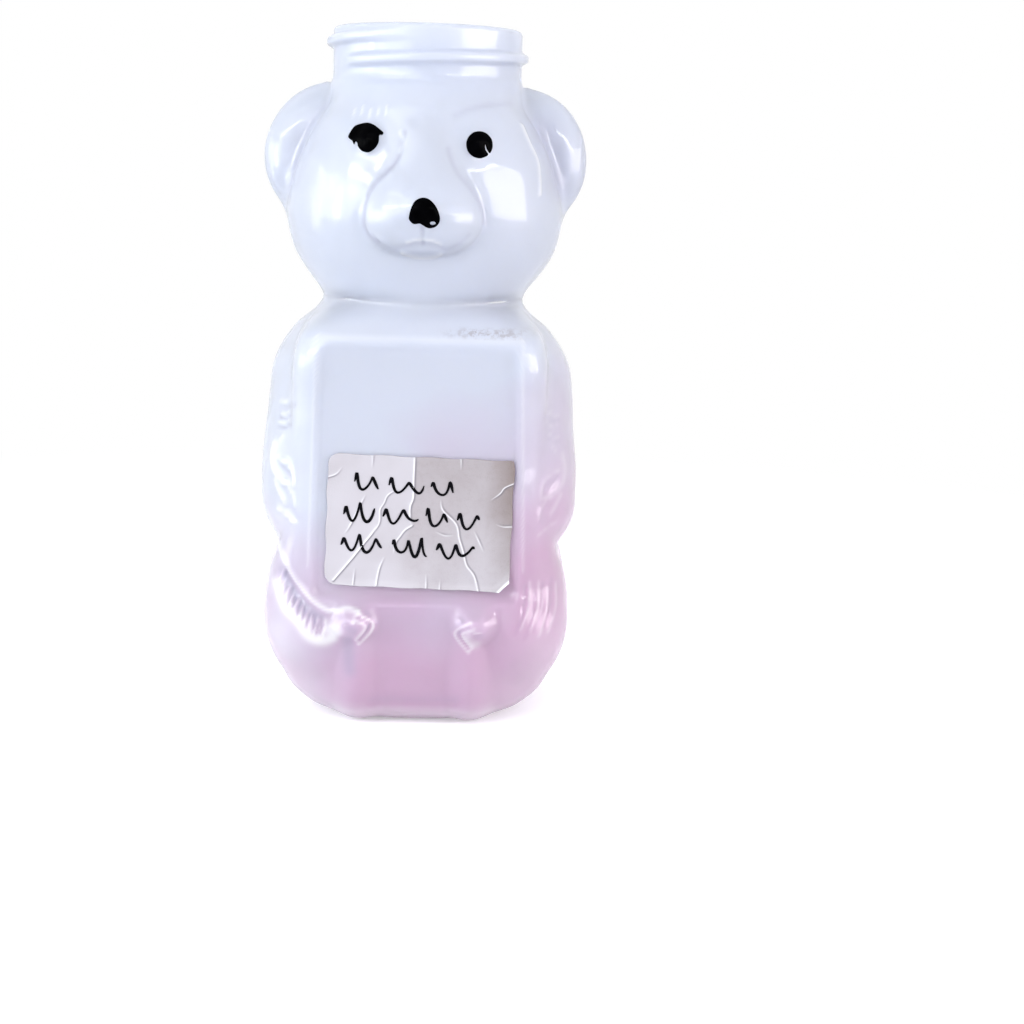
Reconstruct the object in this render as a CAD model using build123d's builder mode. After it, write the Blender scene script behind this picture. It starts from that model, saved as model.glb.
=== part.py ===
from build123d import *
import math
import os

os.makedirs("parts", exist_ok=True)

# A squeezable honey bottle in the shape of a sitting bear: one thin blow-moulded shell with a screw
# neck, two painted eyes, a painted nose and a paper label stuck on its flat front panel.
# Lengths are in millimetres. The bottle stands on z = 0, faces -Y, and its neck points to +Z.

# Screw neck, a standard 38 mm single-start finish
bottle_height = 127.0
neck_height = 10.0
neck_diameter = 34.9
neck_wall = 1.5
rim_rounding = 0.9
shoulder_step = 0.35
thread_depth = 1.2
thread_pitch = 4.233
thread_base_width = 2.5
thread_crest_width = 0.9
thread_start_drop = 6.7
thread_start_angle = -152
thread_turns = 1.05

# Thickness of the shell
wall = 0.9

# Torso, from the base up to the waist
waist_height = 77.5
waist_width = 37.4
waist_depth = 38.0
torso_width = 57.8
torso_front_reach = 26.0
torso_back_reach = 28.4

# Head, from the waist up to the neck
head_width = 51.8
head_front_reach = 23.2
head_back_reach = 25.0

# Ears, flat eggs with a dished front
ear_width = 26.4
ear_depth = 11.0
ear_length = 26.8
ear_span = 60.2
ear_offset = 0.5
ear_dish_width = 13.0
ear_dish_depth = 9.0
ear_dish_length = 17.0
ear_dish_sink = 1.2

# Muzzle, at a share of the head's height, and the small ball on it that carries the nose
muzzle_width = 20.2
muzzle_length = 13.2
muzzle_depth = 17.0
muzzle_stand_out = 4.4
muzzle_height_share = 0.3873
nose_ball_width = 7.6
nose_ball_length = 6.8
nose_ball_depth = 7.0
nose_ball_rise = 1.9
nose_ball_stand_out = 0.65

# Raised eyeballs, each turned outwards, at shares of the head's height, width and front reach
eyeball_diameter = 6.6
eye_height_share = 0.724
eye_spacing_share = 0.326
eye_reach_share = 0.918
eye_turn = 25

# Arms that hang at the sides
arm_top_drop = 1.9
arm_bottom = 32.0
arm_span = 59.6
arm_width = 13.0
arm_depth = 30.0
arm_swing = 3.0

# Thighs, knees and shins of the sitting legs
thigh_width = 18.8
thigh_depth = 24.0
thigh_length = 18.0
thigh_spacing = 37.6
thigh_height = 19.8
thigh_stand_out = 0.3
knee_width = 9.4
knee_depth = 10.0
knee_length = 8.8
knee_spacing = 22.4
knee_height = 19.9
knee_stand_out = 1.9
shin_width = 8.8
shin_depth = 10.4
shin_spacing = 20.4
shin_top = 18.0
shin_stand_out = 0.9

# Flat panels sunk into the front and the back, a little narrower at the top
panel_bottom = 24.6
panel_top_drop = 6.5
panel_width = 36.3
panel_taper = 1.7
panel_corner_radius = 2.0
panel_bevel_width = 1.9
front_panel_recess = 3.0
back_panel_recess = 3.2

# Hollow under the base
push_up_width = 22.0
push_up_depth = 19.0
push_up_top_width = 13.0
push_up_top_depth = 11.0
push_up_rise = 2.2

# Painted eyes and nose
ink_thickness = 0.15
eye_ink_diameter = 4.6
nose_ink_width = 5.2
nose_ink_length = 5.4
nose_ink_drop = 0.5

# Paper label, as wide as the top of the panel less a margin on each side
label_side_margin = 0.5
label_bottom_margin = 1.8
label_height = 24.2
label_thickness = 0.15
label_corner_radius = 2.0
label_cut = 2.4
label_shift = 0.5
label_turn = -1.2

# How far a joined or a cutting form runs past its neighbour
overrun = 5.0
thread_root_depth = 0.5

# One level of the torso in each row: shares of its height, half width, front reach and back reach,
# then the squareness of its section. The waist follows above the last of them.
torso_shares = [
    (0.000, 0.520, 0.665, 0.580, 2.6),
    (0.020, 0.670, 0.800, 0.710, 2.7),
    (0.055, 0.790, 0.905, 0.830, 2.8),
    (0.120, 0.900, 0.965, 0.930, 2.9),
    (0.200, 0.975, 0.995, 0.985, 3.1),
    (0.280, 1.000, 1.000, 1.000, 3.5),
    (0.350, 0.970, 0.990, 0.990, 4.0),
    (0.410, 0.912, 0.985, 0.975, 4.4),
    (0.500, 0.860, 0.980, 0.962, 4.9),
    (0.650, 0.835, 0.980, 0.952, 5.0),
    (0.800, 0.818, 0.975, 0.930, 5.0),
    (0.890, 0.795, 0.960, 0.875, 5.2),
    (0.930, 0.760, 0.915, 0.830, 4.4),
    (0.965, 0.700, 0.830, 0.760, 3.0),
]
# The same for the head, between the waist and the root of the neck
head_shares = [
    (0.045, 0.750, 0.850, 0.800, 2.1),
    (0.120, 0.835, 0.900, 0.860, 2.1),
    (0.220, 0.930, 0.960, 0.940, 2.1),
    (0.320, 0.980, 0.990, 0.980, 2.1),
    (0.420, 1.000, 1.000, 1.000, 2.1),
    (0.550, 0.962, 0.995, 0.995, 2.1),
    (0.680, 0.896, 0.970, 0.960, 2.1),
    (0.800, 0.810, 0.920, 0.890, 2.1),
    (0.910, 0.712, 0.855, 0.805, 2.0),
]
# One level of an arm in each row: shares of its height, half span, width, forward swing and depth
arm_shares = [
    (0.000, 0.860, 0.50, 1.5, 0.42),
    (0.045, 0.926, 0.72, 1.5, 0.65),
    (0.110, 0.976, 0.88, 1.5, 0.85),
    (0.250, 1.000, 0.98, 1.3, 0.98),
    (0.460, 0.983, 1.00, 0.8, 1.00),
    (0.640, 0.965, 1.00, 0.3, 0.95),
    (0.780, 0.930, 0.97, 0.0, 0.87),
    (0.870, 0.856, 0.88, -0.2, 0.75),
    (0.940, 0.760, 0.72, -0.3, 0.58),
    (1.000, 0.620, 0.45, -0.3, 0.36),
]
# One level of a shin in each row: shares of its height, width and forward reach
shin_shares = [
    (0.00, 0.66, 0.750),
    (0.05, 0.86, 0.860),
    (0.14, 0.98, 0.940),
    (0.28, 1.00, 0.982),
    (0.50, 0.98, 1.000),
    (0.75, 0.94, 1.000),
    (0.92, 0.84, 0.990),
    (1.00, 0.70, 0.965),
]
section_points = 24
round_power = 2

neck_root = bottle_height - neck_height
shoulder_radius = neck_diameter / 2 + shoulder_step
head_height = neck_root - waist_height
muzzle_height = waist_height + muzzle_height_share * head_height
muzzle_reach = head_front_reach + muzzle_stand_out
nose_ball_height = muzzle_height + nose_ball_rise
nose_reach = muzzle_reach + nose_ball_stand_out
eyeball_height = waist_height + eye_height_share * head_height
eyeball_spacing = eye_spacing_share * head_width
eyeball_reach = eye_reach_share * head_front_reach
front_panel_reach = torso_front_reach - front_panel_recess
back_panel_reach = torso_back_reach - back_panel_recess


def torso_levels():
    """Levels of the torso, each with its height, half width, front and back reach and squareness."""
    levels = [
        (
            height * waist_height,
            width * torso_width / 2,
            front * torso_front_reach,
            back * torso_back_reach,
            power,
        )
        for height, width, front, back, power in torso_shares
    ]
    return levels + [(waist_height, waist_width / 2, waist_depth / 2, waist_depth / 2, round_power)]


def head_levels():
    """Levels of the head, from the waist up to the round root of the neck."""
    levels = [(waist_height, waist_width / 2, waist_depth / 2, waist_depth / 2, round_power)]
    for height, width, front, back, power in head_shares:
        levels.append(
            (
                waist_height + height * head_height,
                width * head_width / 2,
                front * head_front_reach,
                back * head_back_reach,
                power,
            )
        )
    return levels + [(neck_root, shoulder_radius, shoulder_radius, shoulder_radius, round_power)]


def sunk_levels(levels, inset, closed_bottom):
    """The levels moved inwards by inset, square to the slope of the side between its open ends."""
    sunk = []
    for index, (height, width, front, back, power) in enumerate(levels):
        below = levels[max(index - 1, 0)]
        above = levels[min(index + 1, len(levels) - 1)]
        slope = math.hypot(above[0] - below[0], above[1] - below[1])
        lift = inset * (above[1] - below[1]) / slope
        shift = inset * (above[0] - below[0]) / slope
        if index == len(levels) - 1 or index == 0 and not closed_bottom:
            lift, shift = 0, inset
        sunk.append((height + lift, width - shift, front - shift, back - shift, power))
    return sunk


def oval_points(width, front, back, power):
    """Points round one section, from its right side through its back."""
    points = []
    for step in range(section_points):
        angle = 2 * math.pi * step / section_points
        across, along = math.cos(angle), math.sin(angle)
        reach = (abs(across) ** power + abs(along) ** power) ** (-1 / power)
        depth = back if along > 0 else front
        points.append((width * reach * across, depth * reach * along))
    return points


def skin_form(levels):
    """A solid skinned over rounded sections at the given levels."""
    with BuildPart() as form:
        for height, width, front, back, power in levels:
            with BuildSketch(Plane.XY.offset(height)):
                with BuildLine():
                    Spline(*oval_points(width, front, back, power), periodic=True)
                make_face()
        loft()
    return form.part


def egg_form(width, depth, length, centre, inset):
    """An egg of the given full sizes about its centre, smaller all round by inset."""
    with BuildPart() as form:
        Sphere(1)
        scale(by=(width / 2 - inset, depth / 2 - inset, length / 2 - inset))
    return form.part.moved(Location(centre))


def ear_form(side, inset):
    """One ear, a flat egg with a smaller egg pressed into its front."""
    middle = side * (ear_span - ear_width) / 2
    height = neck_root - ear_length / 2
    ear = egg_form(ear_width, ear_depth, ear_length, (middle, ear_offset, height), inset)
    dish_middle = side * (ear_span / 2 - ear_dish_width / 2)
    dish_offset = ear_offset - ear_depth / 2 + ear_dish_sink - ear_dish_depth / 2
    dish = egg_form(
        ear_dish_width, ear_dish_depth, ear_dish_length, (dish_middle, dish_offset, height), -inset
    )
    with BuildPart() as form:
        add(ear)
        add(dish, mode=Mode.SUBTRACT)
    return form.part


def arm_form(side, inset):
    """One hanging arm, smaller all round by inset."""
    arm_top = waist_height - arm_top_drop
    with BuildPart() as form:
        for height, edge, width, swing, depth in arm_shares:
            middle = side * (edge * arm_span - width * arm_width) / 2
            level = arm_bottom + height * (arm_top - arm_bottom)
            with BuildSketch(Plane((middle, -swing * arm_swing, level))):
                Ellipse(width * arm_width / 2 - inset, depth * arm_depth / 2 - inset)
        loft()
    return form.part


def leg_forms(side, inset):
    """The thigh, the knee and the shin of one sitting leg."""
    thigh_reach = torso_front_reach + thigh_stand_out
    knee_reach = torso_front_reach + knee_stand_out
    shin_reach = torso_front_reach + shin_stand_out
    thigh = egg_form(
        thigh_width,
        thigh_depth,
        thigh_length,
        (side * thigh_spacing / 2, thigh_depth / 2 - thigh_reach, thigh_height),
        inset,
    )
    knee = egg_form(
        knee_width,
        knee_depth,
        knee_length,
        (side * knee_spacing / 2, knee_depth / 2 - knee_reach, knee_height),
        inset,
    )
    with BuildPart() as shin:
        for height, width, reach in shin_shares:
            level = height * shin_top + (1 - height) * inset
            middle = (side * shin_spacing / 2, shin_depth / 2 - reach * shin_reach, level)
            with BuildSketch(Plane(middle)):
                Ellipse(width * shin_width / 2 - inset, shin_depth / 2 - inset)
        loft()
    return [thigh, knee, shin.part]


def muzzle_forms(inset):
    """The muzzle and the ball under the nose."""
    muzzle_middle = (0, muzzle_depth / 2 - muzzle_reach, muzzle_height)
    nose_middle = (0, nose_ball_depth / 2 - nose_reach, nose_ball_height)
    return [
        egg_form(muzzle_width, muzzle_depth, muzzle_length, muzzle_middle, inset),
        egg_form(nose_ball_width, nose_ball_depth, nose_ball_length, nose_middle, inset),
    ]


def eyeball_middle(side):
    """The centre of one eyeball."""
    return (side * eyeball_spacing / 2, eyeball_diameter / 2 - eyeball_reach, eyeball_height)


def eyeball_form(side, inset):
    """One raised eyeball."""
    size = eyeball_diameter
    return egg_form(size, size, size, eyeball_middle(side), inset)


def panel_cut(side, reach, torso_reach, inset):
    """The cut that flattens the front (side -1) or the back (side 1) inside a bevelled edge."""
    depth = torso_reach - reach + overrun
    spread = panel_bevel_width * depth / (torso_reach - reach)
    with BuildPart() as cut:
        for out, grow in ((0, inset), (depth, inset + spread)):
            with BuildSketch(Plane.XZ.offset(-side * (reach - inset + out))) as outline:
                with BuildLine():
                    bottom = panel_width / 2 + grow
                    top = (panel_width - panel_taper) / 2 + grow
                    low = panel_bottom - grow
                    high = waist_height - panel_top_drop + grow
                    Polyline((-bottom, low), (bottom, low), (top, high), (-top, high), close=True)
                make_face()
                fillet(outline.vertices(), panel_corner_radius + grow)
        loft(ruled=True)
    return cut.part


def push_up_cut(inset):
    """The hollow pressed up into the base."""
    with BuildPart() as cut:
        with BuildSketch(Plane.XY):
            Ellipse(push_up_width / 2 + inset, push_up_depth / 2 + inset)
        with BuildSketch(Plane.XY.offset(push_up_rise + inset)):
            Ellipse(push_up_top_width / 2 + inset, push_up_top_depth / 2 + inset)
        loft(ruled=True)
    return cut.part


def bear_form(inset):
    """The whole bear up to the root of its neck, smaller all round by inset."""
    forms = [
        skin_form(sunk_levels(torso_levels(), inset, closed_bottom=True)),
        skin_form(sunk_levels(head_levels(), inset, closed_bottom=False)),
    ]
    forms += muzzle_forms(inset)
    for side in (-1, 1):
        forms += [eyeball_form(side, inset), ear_form(side, inset), arm_form(side, inset)]
        forms += leg_forms(side, inset)
    cuts = [
        panel_cut(-1, front_panel_reach, torso_front_reach, inset),
        panel_cut(1, back_panel_reach, torso_back_reach, inset),
        push_up_cut(inset),
    ]
    with BuildPart() as bear:
        for form in forms:
            add(form)
        for cut in cuts:
            add(cut, mode=Mode.SUBTRACT)
    return bear.part


def thread_form():
    """The single-start thread, a little over one turn, rooted in the neck."""
    with BuildPart() as thread:
        with BuildLine() as path:
            Helix(thread_pitch, thread_turns * thread_pitch, neck_diameter / 2)
        with BuildSketch(Plane(origin=path.line @ 0, x_dir=(1, 0, 0), z_dir=path.line % 0)):
            with BuildLine():
                Polyline(
                    (-thread_root_depth, -thread_base_width / 2),
                    (0, -thread_base_width / 2),
                    (thread_depth, -thread_crest_width / 2),
                    (thread_depth, thread_crest_width / 2),
                    (0, thread_base_width / 2),
                    (-thread_root_depth, thread_base_width / 2),
                    close=True,
                )
            make_face()
        sweep(path=path.line, is_frenet=True)
    start = bottle_height - thread_start_drop
    return thread.part.moved(Location((0, 0, start), (0, 0, thread_start_angle)))


def ink_form(coatings, mask, backing):
    """A film of ink: coatings kept inside a mask and in front of what they are painted on."""
    with BuildPart() as film:
        for coating in coatings:
            add(coating)
        add(mask, mode=Mode.INTERSECT)
        add(backing, mode=Mode.SUBTRACT)
    return film.part


def eye_mask(side):
    """The round column that bounds the paint on one eye."""
    turn = math.radians(eye_turn)
    facing = (side * math.sin(turn), -math.cos(turn), 0)
    with BuildPart() as mask:
        with BuildSketch(Plane(origin=eyeball_middle(side), z_dir=facing)):
            Circle(eye_ink_diameter / 2)
        extrude(amount=eyeball_diameter)
    return mask.part


def nose_mask():
    """The column that bounds the paint on the nose."""
    middle = (0, -head_front_reach, nose_ball_height - nose_ink_drop)
    with BuildPart() as mask:
        with BuildSketch(Plane(middle, z_dir=(0, -1, 0))):
            Ellipse(nose_ink_width / 2, nose_ink_length / 2)
        extrude(amount=nose_reach)
    return mask.part


# Bottle: the outer form less the same form set in by the wall, with the neck and its thread on top
outer = bear_form(0)
inner = bear_form(wall)
thread = thread_form()
with BuildPart() as bottle:
    add(outer)
    with BuildSketch(Plane.XY.offset(neck_root)):
        Circle(neck_diameter / 2)
    extrude(amount=neck_height)
    fillet(bottle.faces().sort_by(Axis.Z)[-1].edges(), rim_rounding)
    add(thread)
    add(inner, mode=Mode.SUBTRACT)
    with BuildSketch(Plane.XY.offset(neck_root)):
        Circle(neck_diameter / 2 - neck_wall)
    extrude(amount=neck_height, mode=Mode.SUBTRACT)
bottle.part.label = "bottle"
export_step(bottle.part, "parts/bottle.step")

# Eyes: a round film of black paint on each raised eyeball
for name, side in (("left_eye", -1), ("right_eye", 1)):
    with BuildPart() as eye:
        add(ink_form([eyeball_form(side, -ink_thickness)], eye_mask(side), outer))
    eye.part.label = name
    export_step(eye.part, f"parts/{name}.step")

# Nose: a film of the same paint over the nose ball and the muzzle behind it
with BuildPart() as nose:
    add(ink_form(muzzle_forms(-ink_thickness), nose_mask(), outer))
nose.part.label = "nose"
export_step(nose.part, "parts/nose.step")

# Paper label, flat on the front panel, with rounded left corners and its lower right corner cut off
turn = math.radians(label_turn)
label_width = panel_width - panel_taper - 2 * label_side_margin
label_centre_height = panel_bottom + label_bottom_margin + label_height / 2
label_middle = (label_shift, -front_panel_reach, label_centre_height)
label_plane = Plane(origin=label_middle, x_dir=(math.cos(turn), 0, math.sin(turn)), z_dir=(0, -1, 0))
with BuildPart() as paper_label:
    with BuildSketch(label_plane) as outline:
        Rectangle(label_width, label_height)
        fillet(outline.vertices().group_by(Axis.X)[0], label_corner_radius)
        chamfer(outline.vertices().group_by(Axis.X)[-1].sort_by(Axis.Y)[0], label_cut)
    extrude(amount=label_thickness)
paper_label.part.label = "paper_label"
export_step(paper_label.part, "parts/paper_label.step")
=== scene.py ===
"""Dresses the bear-shaped honey bottle: its shell, painted face, paper label, lights and camera."""

import logging
import math
from dataclasses import dataclass
from enum import Enum
from functools import cached_property

import bpy
import numpy as np
from mathutils import Matrix, Vector
from mathutils.bvhtree import BVHTree
from mathutils.geometry import delaunay_2d_cdt


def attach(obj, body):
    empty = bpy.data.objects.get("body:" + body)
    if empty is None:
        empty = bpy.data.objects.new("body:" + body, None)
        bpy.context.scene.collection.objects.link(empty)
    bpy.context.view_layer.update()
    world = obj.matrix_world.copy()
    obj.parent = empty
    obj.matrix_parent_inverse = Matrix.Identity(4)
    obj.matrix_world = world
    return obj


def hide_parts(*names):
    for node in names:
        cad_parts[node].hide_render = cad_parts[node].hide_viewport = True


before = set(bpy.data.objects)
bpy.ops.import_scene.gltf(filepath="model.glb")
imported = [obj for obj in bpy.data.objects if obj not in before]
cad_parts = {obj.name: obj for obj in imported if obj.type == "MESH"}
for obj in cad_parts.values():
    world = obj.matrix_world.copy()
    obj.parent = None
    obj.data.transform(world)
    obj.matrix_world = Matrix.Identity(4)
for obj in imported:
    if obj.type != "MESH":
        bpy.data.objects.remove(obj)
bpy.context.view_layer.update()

# Sizes below are in millimetres, and a mesh is scaled by MM as it is made
MM = 0.001
BODY = "root"
UP = np.array((0.0, 0.0, 1.0))
BACK = np.array((0.0, 1.0, 0.0))
UNIT = (0.0, 1.0)
LEAST_RATIO = 1e-4
LEAST_LENGTH = 1e-9
QUARTER = math.pi / 2
log = logging.getLogger("honey_bear")

Points = np.ndarray
Numbers = np.ndarray
Pair = tuple[float, float]
Triple = tuple[float, float, float]
Path = tuple[Pair, ...]
Colour = tuple[float, float, float, float]
Socket = bpy.types.NodeSocket
Sockets = dict[str | int, object]


# Curves and fields

def soft_union(first: Numbers, second: Numbers, blend: float) -> Numbers:
    """Joins two distance fields, with a rounded seam as wide as the blend."""
    overlap = np.maximum(blend - np.abs(first - second), 0) / blend
    return np.minimum(first, second) - overlap * overlap * blend / 4


def soft_cut(first: Numbers, second: Numbers, blend: float) -> Numbers:
    """Keeps only what lies inside both fields, with a rounded edge."""
    return -soft_union(-first, -second, blend)


def egg(points: Points, centre: Triple, half_sizes: Triple) -> Numbers:
    """Distance to an egg, about right near its surface.

    Args:
        points: Points to measure, one a row.
        centre: Middle of the egg.
        half_sizes: Half of its width, depth and length.

    Returns:
        Distance at each point, negative inside.
    """
    local = (points - centre) / np.array(half_sizes)
    near = np.linalg.norm(local, axis=1) + LEAST_LENGTH
    slope = np.linalg.norm(local / np.array(half_sizes), axis=1) + LEAST_LENGTH
    return near * (near - 1) / slope


def section(
    across: Numbers, along: Numbers, width: Numbers, depth: Numbers, power: Numbers | float = 2.0
) -> Numbers:
    """Level distance from a rounded section round the origin.

    Args:
        across: Place of each point across the section.
        along: Place of each point from front to back.
        width: Half of the section's width.
        depth: Half of its depth.
        power: How square it is, 2 for an oval.

    Returns:
        Distance at each point, negative inside.
    """
    ratio = (np.abs(across / width) ** power + np.abs(along / depth) ** power) ** (1 / power)
    reach = np.hypot(across, along)
    return reach - reach / np.maximum(ratio, LEAST_RATIO)


def smooth_through(places: Numbers, values: Numbers, wanted: Numbers) -> Numbers:
    """Values of a smooth curve through given points.

    Args:
        places: Rising places of the points.
        values: Their values.
        wanted: Places at which the curve is read.

    Returns:
        The curve's value at each wanted place.
    """
    slopes = np.gradient(values, places)
    index = np.clip(np.searchsorted(places, wanted) - 1, 0, len(places) - 2)
    width = places[index + 1] - places[index]
    share = np.clip((wanted - places[index]) / width, 0, 1)
    square, cube = share**2, share**3
    return (
        (2 * cube - 3 * square + 1) * values[index]
        + (cube - 2 * square + share) * width * slopes[index]
        + (3 * square - 2 * cube) * values[index + 1]
        + (cube - square) * width * slopes[index + 1]
    )


def curve(corners: Path, steps: int, closed: bool = False) -> Numbers:
    """A smooth line through a few corners.

    Args:
        corners: The corners in order.
        steps: Points on each stretch between two corners.
        closed: Whether the line runs round to its start.

    Returns:
        Points of the line, one a row.
    """
    knots = np.array(corners, float)
    if closed:
        knots = np.concatenate([knots[-1:], knots, knots[:2]])
    places = np.arange(len(knots), dtype=float)
    wanted = np.linspace(0, len(knots) - 1, steps * (len(knots) - 1) + 1)
    line = np.stack([smooth_through(places, column, wanted) for column in knots.T], axis=1)
    return line[steps : -steps - 1] if closed else line


def gap_to_line(points: Points, line: Numbers) -> Numbers:
    """Least distance from 2-D points to a line of straight stretches.

    Args:
        points: Points to measure, one a row.
        line: Corners of the line, one a row.

    Returns:
        Distance at each point.
    """
    best = np.full(len(points), np.inf)
    for start, end in zip(line[:-1], line[1:]):
        run = end - start
        along = np.clip(((points - start) @ run) / max(run @ run, LEAST_LENGTH), 0, 1)
        best = np.minimum(best, np.linalg.norm(points - start - along[:, None] * run, axis=1))
    return best


def wander(index: float, pace: float, middle: float, swing: float) -> float:
    """A size that wanders about its middle from one mark to the next."""
    return middle + swing * math.sin(index * pace)


class Levels:
    """Sizes that change smoothly with height."""

    def __init__(self, rows: Numbers, samples: int = 1500) -> None:
        """Reads rows of a height and its sizes, from the lowest to the highest."""
        self.heights = np.linspace(rows[0, 0], rows[-1, 0], samples)
        self.columns = [smooth_through(rows[:, 0], sizes, self.heights) for sizes in rows.T[1:]]

    def at(self, heights: Numbers) -> list[Numbers]:
        """Each size at the given heights."""
        return [np.interp(heights, self.heights, column) for column in self.columns]


# Forms of the bear, where folded points are ones mirrored onto its right side

@dataclass(frozen=True)
class Trunk:
    """The torso and the head without their limbs, as sections stacked from the base to the neck."""

    waist_height: float = 77.5
    waist_half_width: float = 18.7
    waist_half_depth: float = 19.0
    torso_half_width: float = 28.9
    torso_front: float = 26.0
    torso_back: float = 28.4
    head_half_width: float = 25.9
    head_front: float = 23.2
    head_back: float = 25.0
    neck_root: float = 117.0
    root_radius: float = 17.8
    top_blend: float = 0.15
    # Shares of the torso's height, half width, front and back reach, and the squareness
    torso_shares: tuple = (
        (0.0, 0.52, 0.69, 0.58, 2.9), (0.02, 0.675, 0.825, 0.71, 3.2),
        (0.055, 0.8, 0.912, 0.83, 3.6), (0.12, 0.905, 0.958, 0.93, 3.8),
        (0.2, 0.975, 0.976, 0.985, 3.8), (0.28, 1.0, 0.968, 1.0, 3.9),
        (0.35, 0.97, 0.945, 0.99, 4.6), (0.41, 0.912, 0.94, 0.975, 5.6),
        (0.5, 0.86, 0.938, 0.962, 6.4), (0.65, 0.835, 0.934, 0.952, 6.4),
        (0.8, 0.818, 0.93, 0.93, 7.2), (0.89, 0.795, 0.916, 0.875, 8.2),
        (0.93, 0.76, 0.88, 0.83, 7.6), (0.965, 0.7, 0.82, 0.76, 4.0),
    )
    # The same for the head
    head_shares: tuple = (
        (0.045, 0.75, 0.85, 0.8, 2.1), (0.12, 0.835, 0.9, 0.86, 2.1),
        (0.22, 0.93, 0.96, 0.94, 2.1), (0.32, 0.98, 0.99, 0.98, 2.1),
        (0.42, 1.0, 1.0, 1.0, 2.1), (0.55, 0.962, 0.995, 0.995, 2.1),
        (0.68, 0.896, 0.97, 0.96, 2.1), (0.8, 0.81, 0.92, 0.89, 2.1),
        (0.91, 0.712, 0.855, 0.805, 2.0),
    )

    @cached_property
    def levels(self) -> Levels:
        """The sections, as half width, front and back reach and squareness at each height.

        Returns:
            The levels.
        """
        waist, root = self.waist_half_depth, self.root_radius
        torso = (self.waist_height, self.torso_half_width, self.torso_front, self.torso_back, 1)
        head_height = self.neck_root - self.waist_height
        head = (head_height, self.head_half_width, self.head_front, self.head_back, 1)
        rows = (
            np.array(self.torso_shares) * torso,
            (self.waist_height, self.waist_half_width, waist, waist, 2.0),
            np.array(self.head_shares) * head + (self.waist_height, 0, 0, 0, 0),
            (self.neck_root, root, root, root, 2.0),
        )
        return Levels(np.vstack(rows))

    def gap(self, points: Points) -> Numbers:
        """Distance from the trunk.

        Args:
            points: Points to measure, one a row.

        Returns:
            Distance at each point, negative inside.
        """
        across, along, up = points.T
        width, front, back, power = self.levels.at(up)
        flat = section(across, along, width, np.where(along > 0, back, front), power)
        slope = np.gradient(self.levels.columns[0], self.levels.heights)
        steepness = np.interp(up, self.levels.heights, 1 / np.sqrt(1 + slope**2))
        return soft_cut(flat * steepness, up - self.neck_root, self.top_blend)


@dataclass(frozen=True)
class Ears:
    """Flat round ears with a dished front."""

    centre: Triple = (16.9, 0.5, 103.6)
    half_sizes: Triple = (13.2, 5.5, 13.4)
    dish_centre: Triple = (22.6, -8.9, 103.6)
    dish_half_sizes: Triple = (7.4, 4.9, 9.6)
    dish_blend: float = 2.4

    def gap(self, folded: Points) -> Numbers:
        """Distance of folded points from the ears."""
        dish = egg(folded, self.dish_centre, self.dish_half_sizes)
        return soft_cut(egg(folded, self.centre, self.half_sizes), -dish, self.dish_blend)


@dataclass(frozen=True)
class Snout:
    """The bridge and the muzzle as one bell-shaped form, with the ball under the nose."""

    root: float = -20.0
    back_depth: float = 8.0
    power: float = 2.3
    # Height, half width and reach of each level
    rows: tuple = (
        (85.6, 3.0, 20.6), (87.0, 6.4, 24.4), (88.6, 8.9, 26.1), (90.4, 10.3, 27.1),
        (92.8, 10.9, 27.6), (95.0, 10.5, 27.5), (97.0, 9.9, 26.8), (99.0, 8.9, 25.8),
        (101.0, 7.7, 24.8), (103.2, 6.4, 24.0), (106.0, 5.3, 23.1), (108.5, 4.6, 22.0),
        (111.5, 3.6, 19.9),
    )
    ball_centre: Triple = (0.0, -24.75, 94.7)
    ball_half_sizes: Triple = (3.8, 3.5, 3.4)
    ball_blend: float = 1.4
    end_blend: float = 1.5

    def gap(self, points: Points) -> Numbers:
        """Distance from the snout.

        Args:
            points: Points to measure, one a row.

        Returns:
            Distance at each point, negative inside.
        """
        across, along, up = points.T
        width, reach = Levels(np.array(self.rows)).at(up)
        along = along - self.root
        depth = np.where(along > 0, self.back_depth, reach + self.root)
        ends = np.maximum(self.rows[0][0] - up, up - self.rows[-1][0])
        bell = soft_cut(section(across, along, width, depth, self.power), ends, self.end_blend)
        ball = egg(points, self.ball_centre, self.ball_half_sizes)
        return soft_union(bell, ball, self.ball_blend)


@dataclass(frozen=True)
class Eyeballs:
    """Two small raised balls that carry the painted eyes."""

    centre: Triple = (8.45, -18.0, 106.1)
    radius: float = 3.3

    def gap(self, folded: Points) -> Numbers:
        """Distance of folded points from the eyeballs."""
        return np.linalg.norm(folded - self.centre, axis=1) - self.radius


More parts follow.
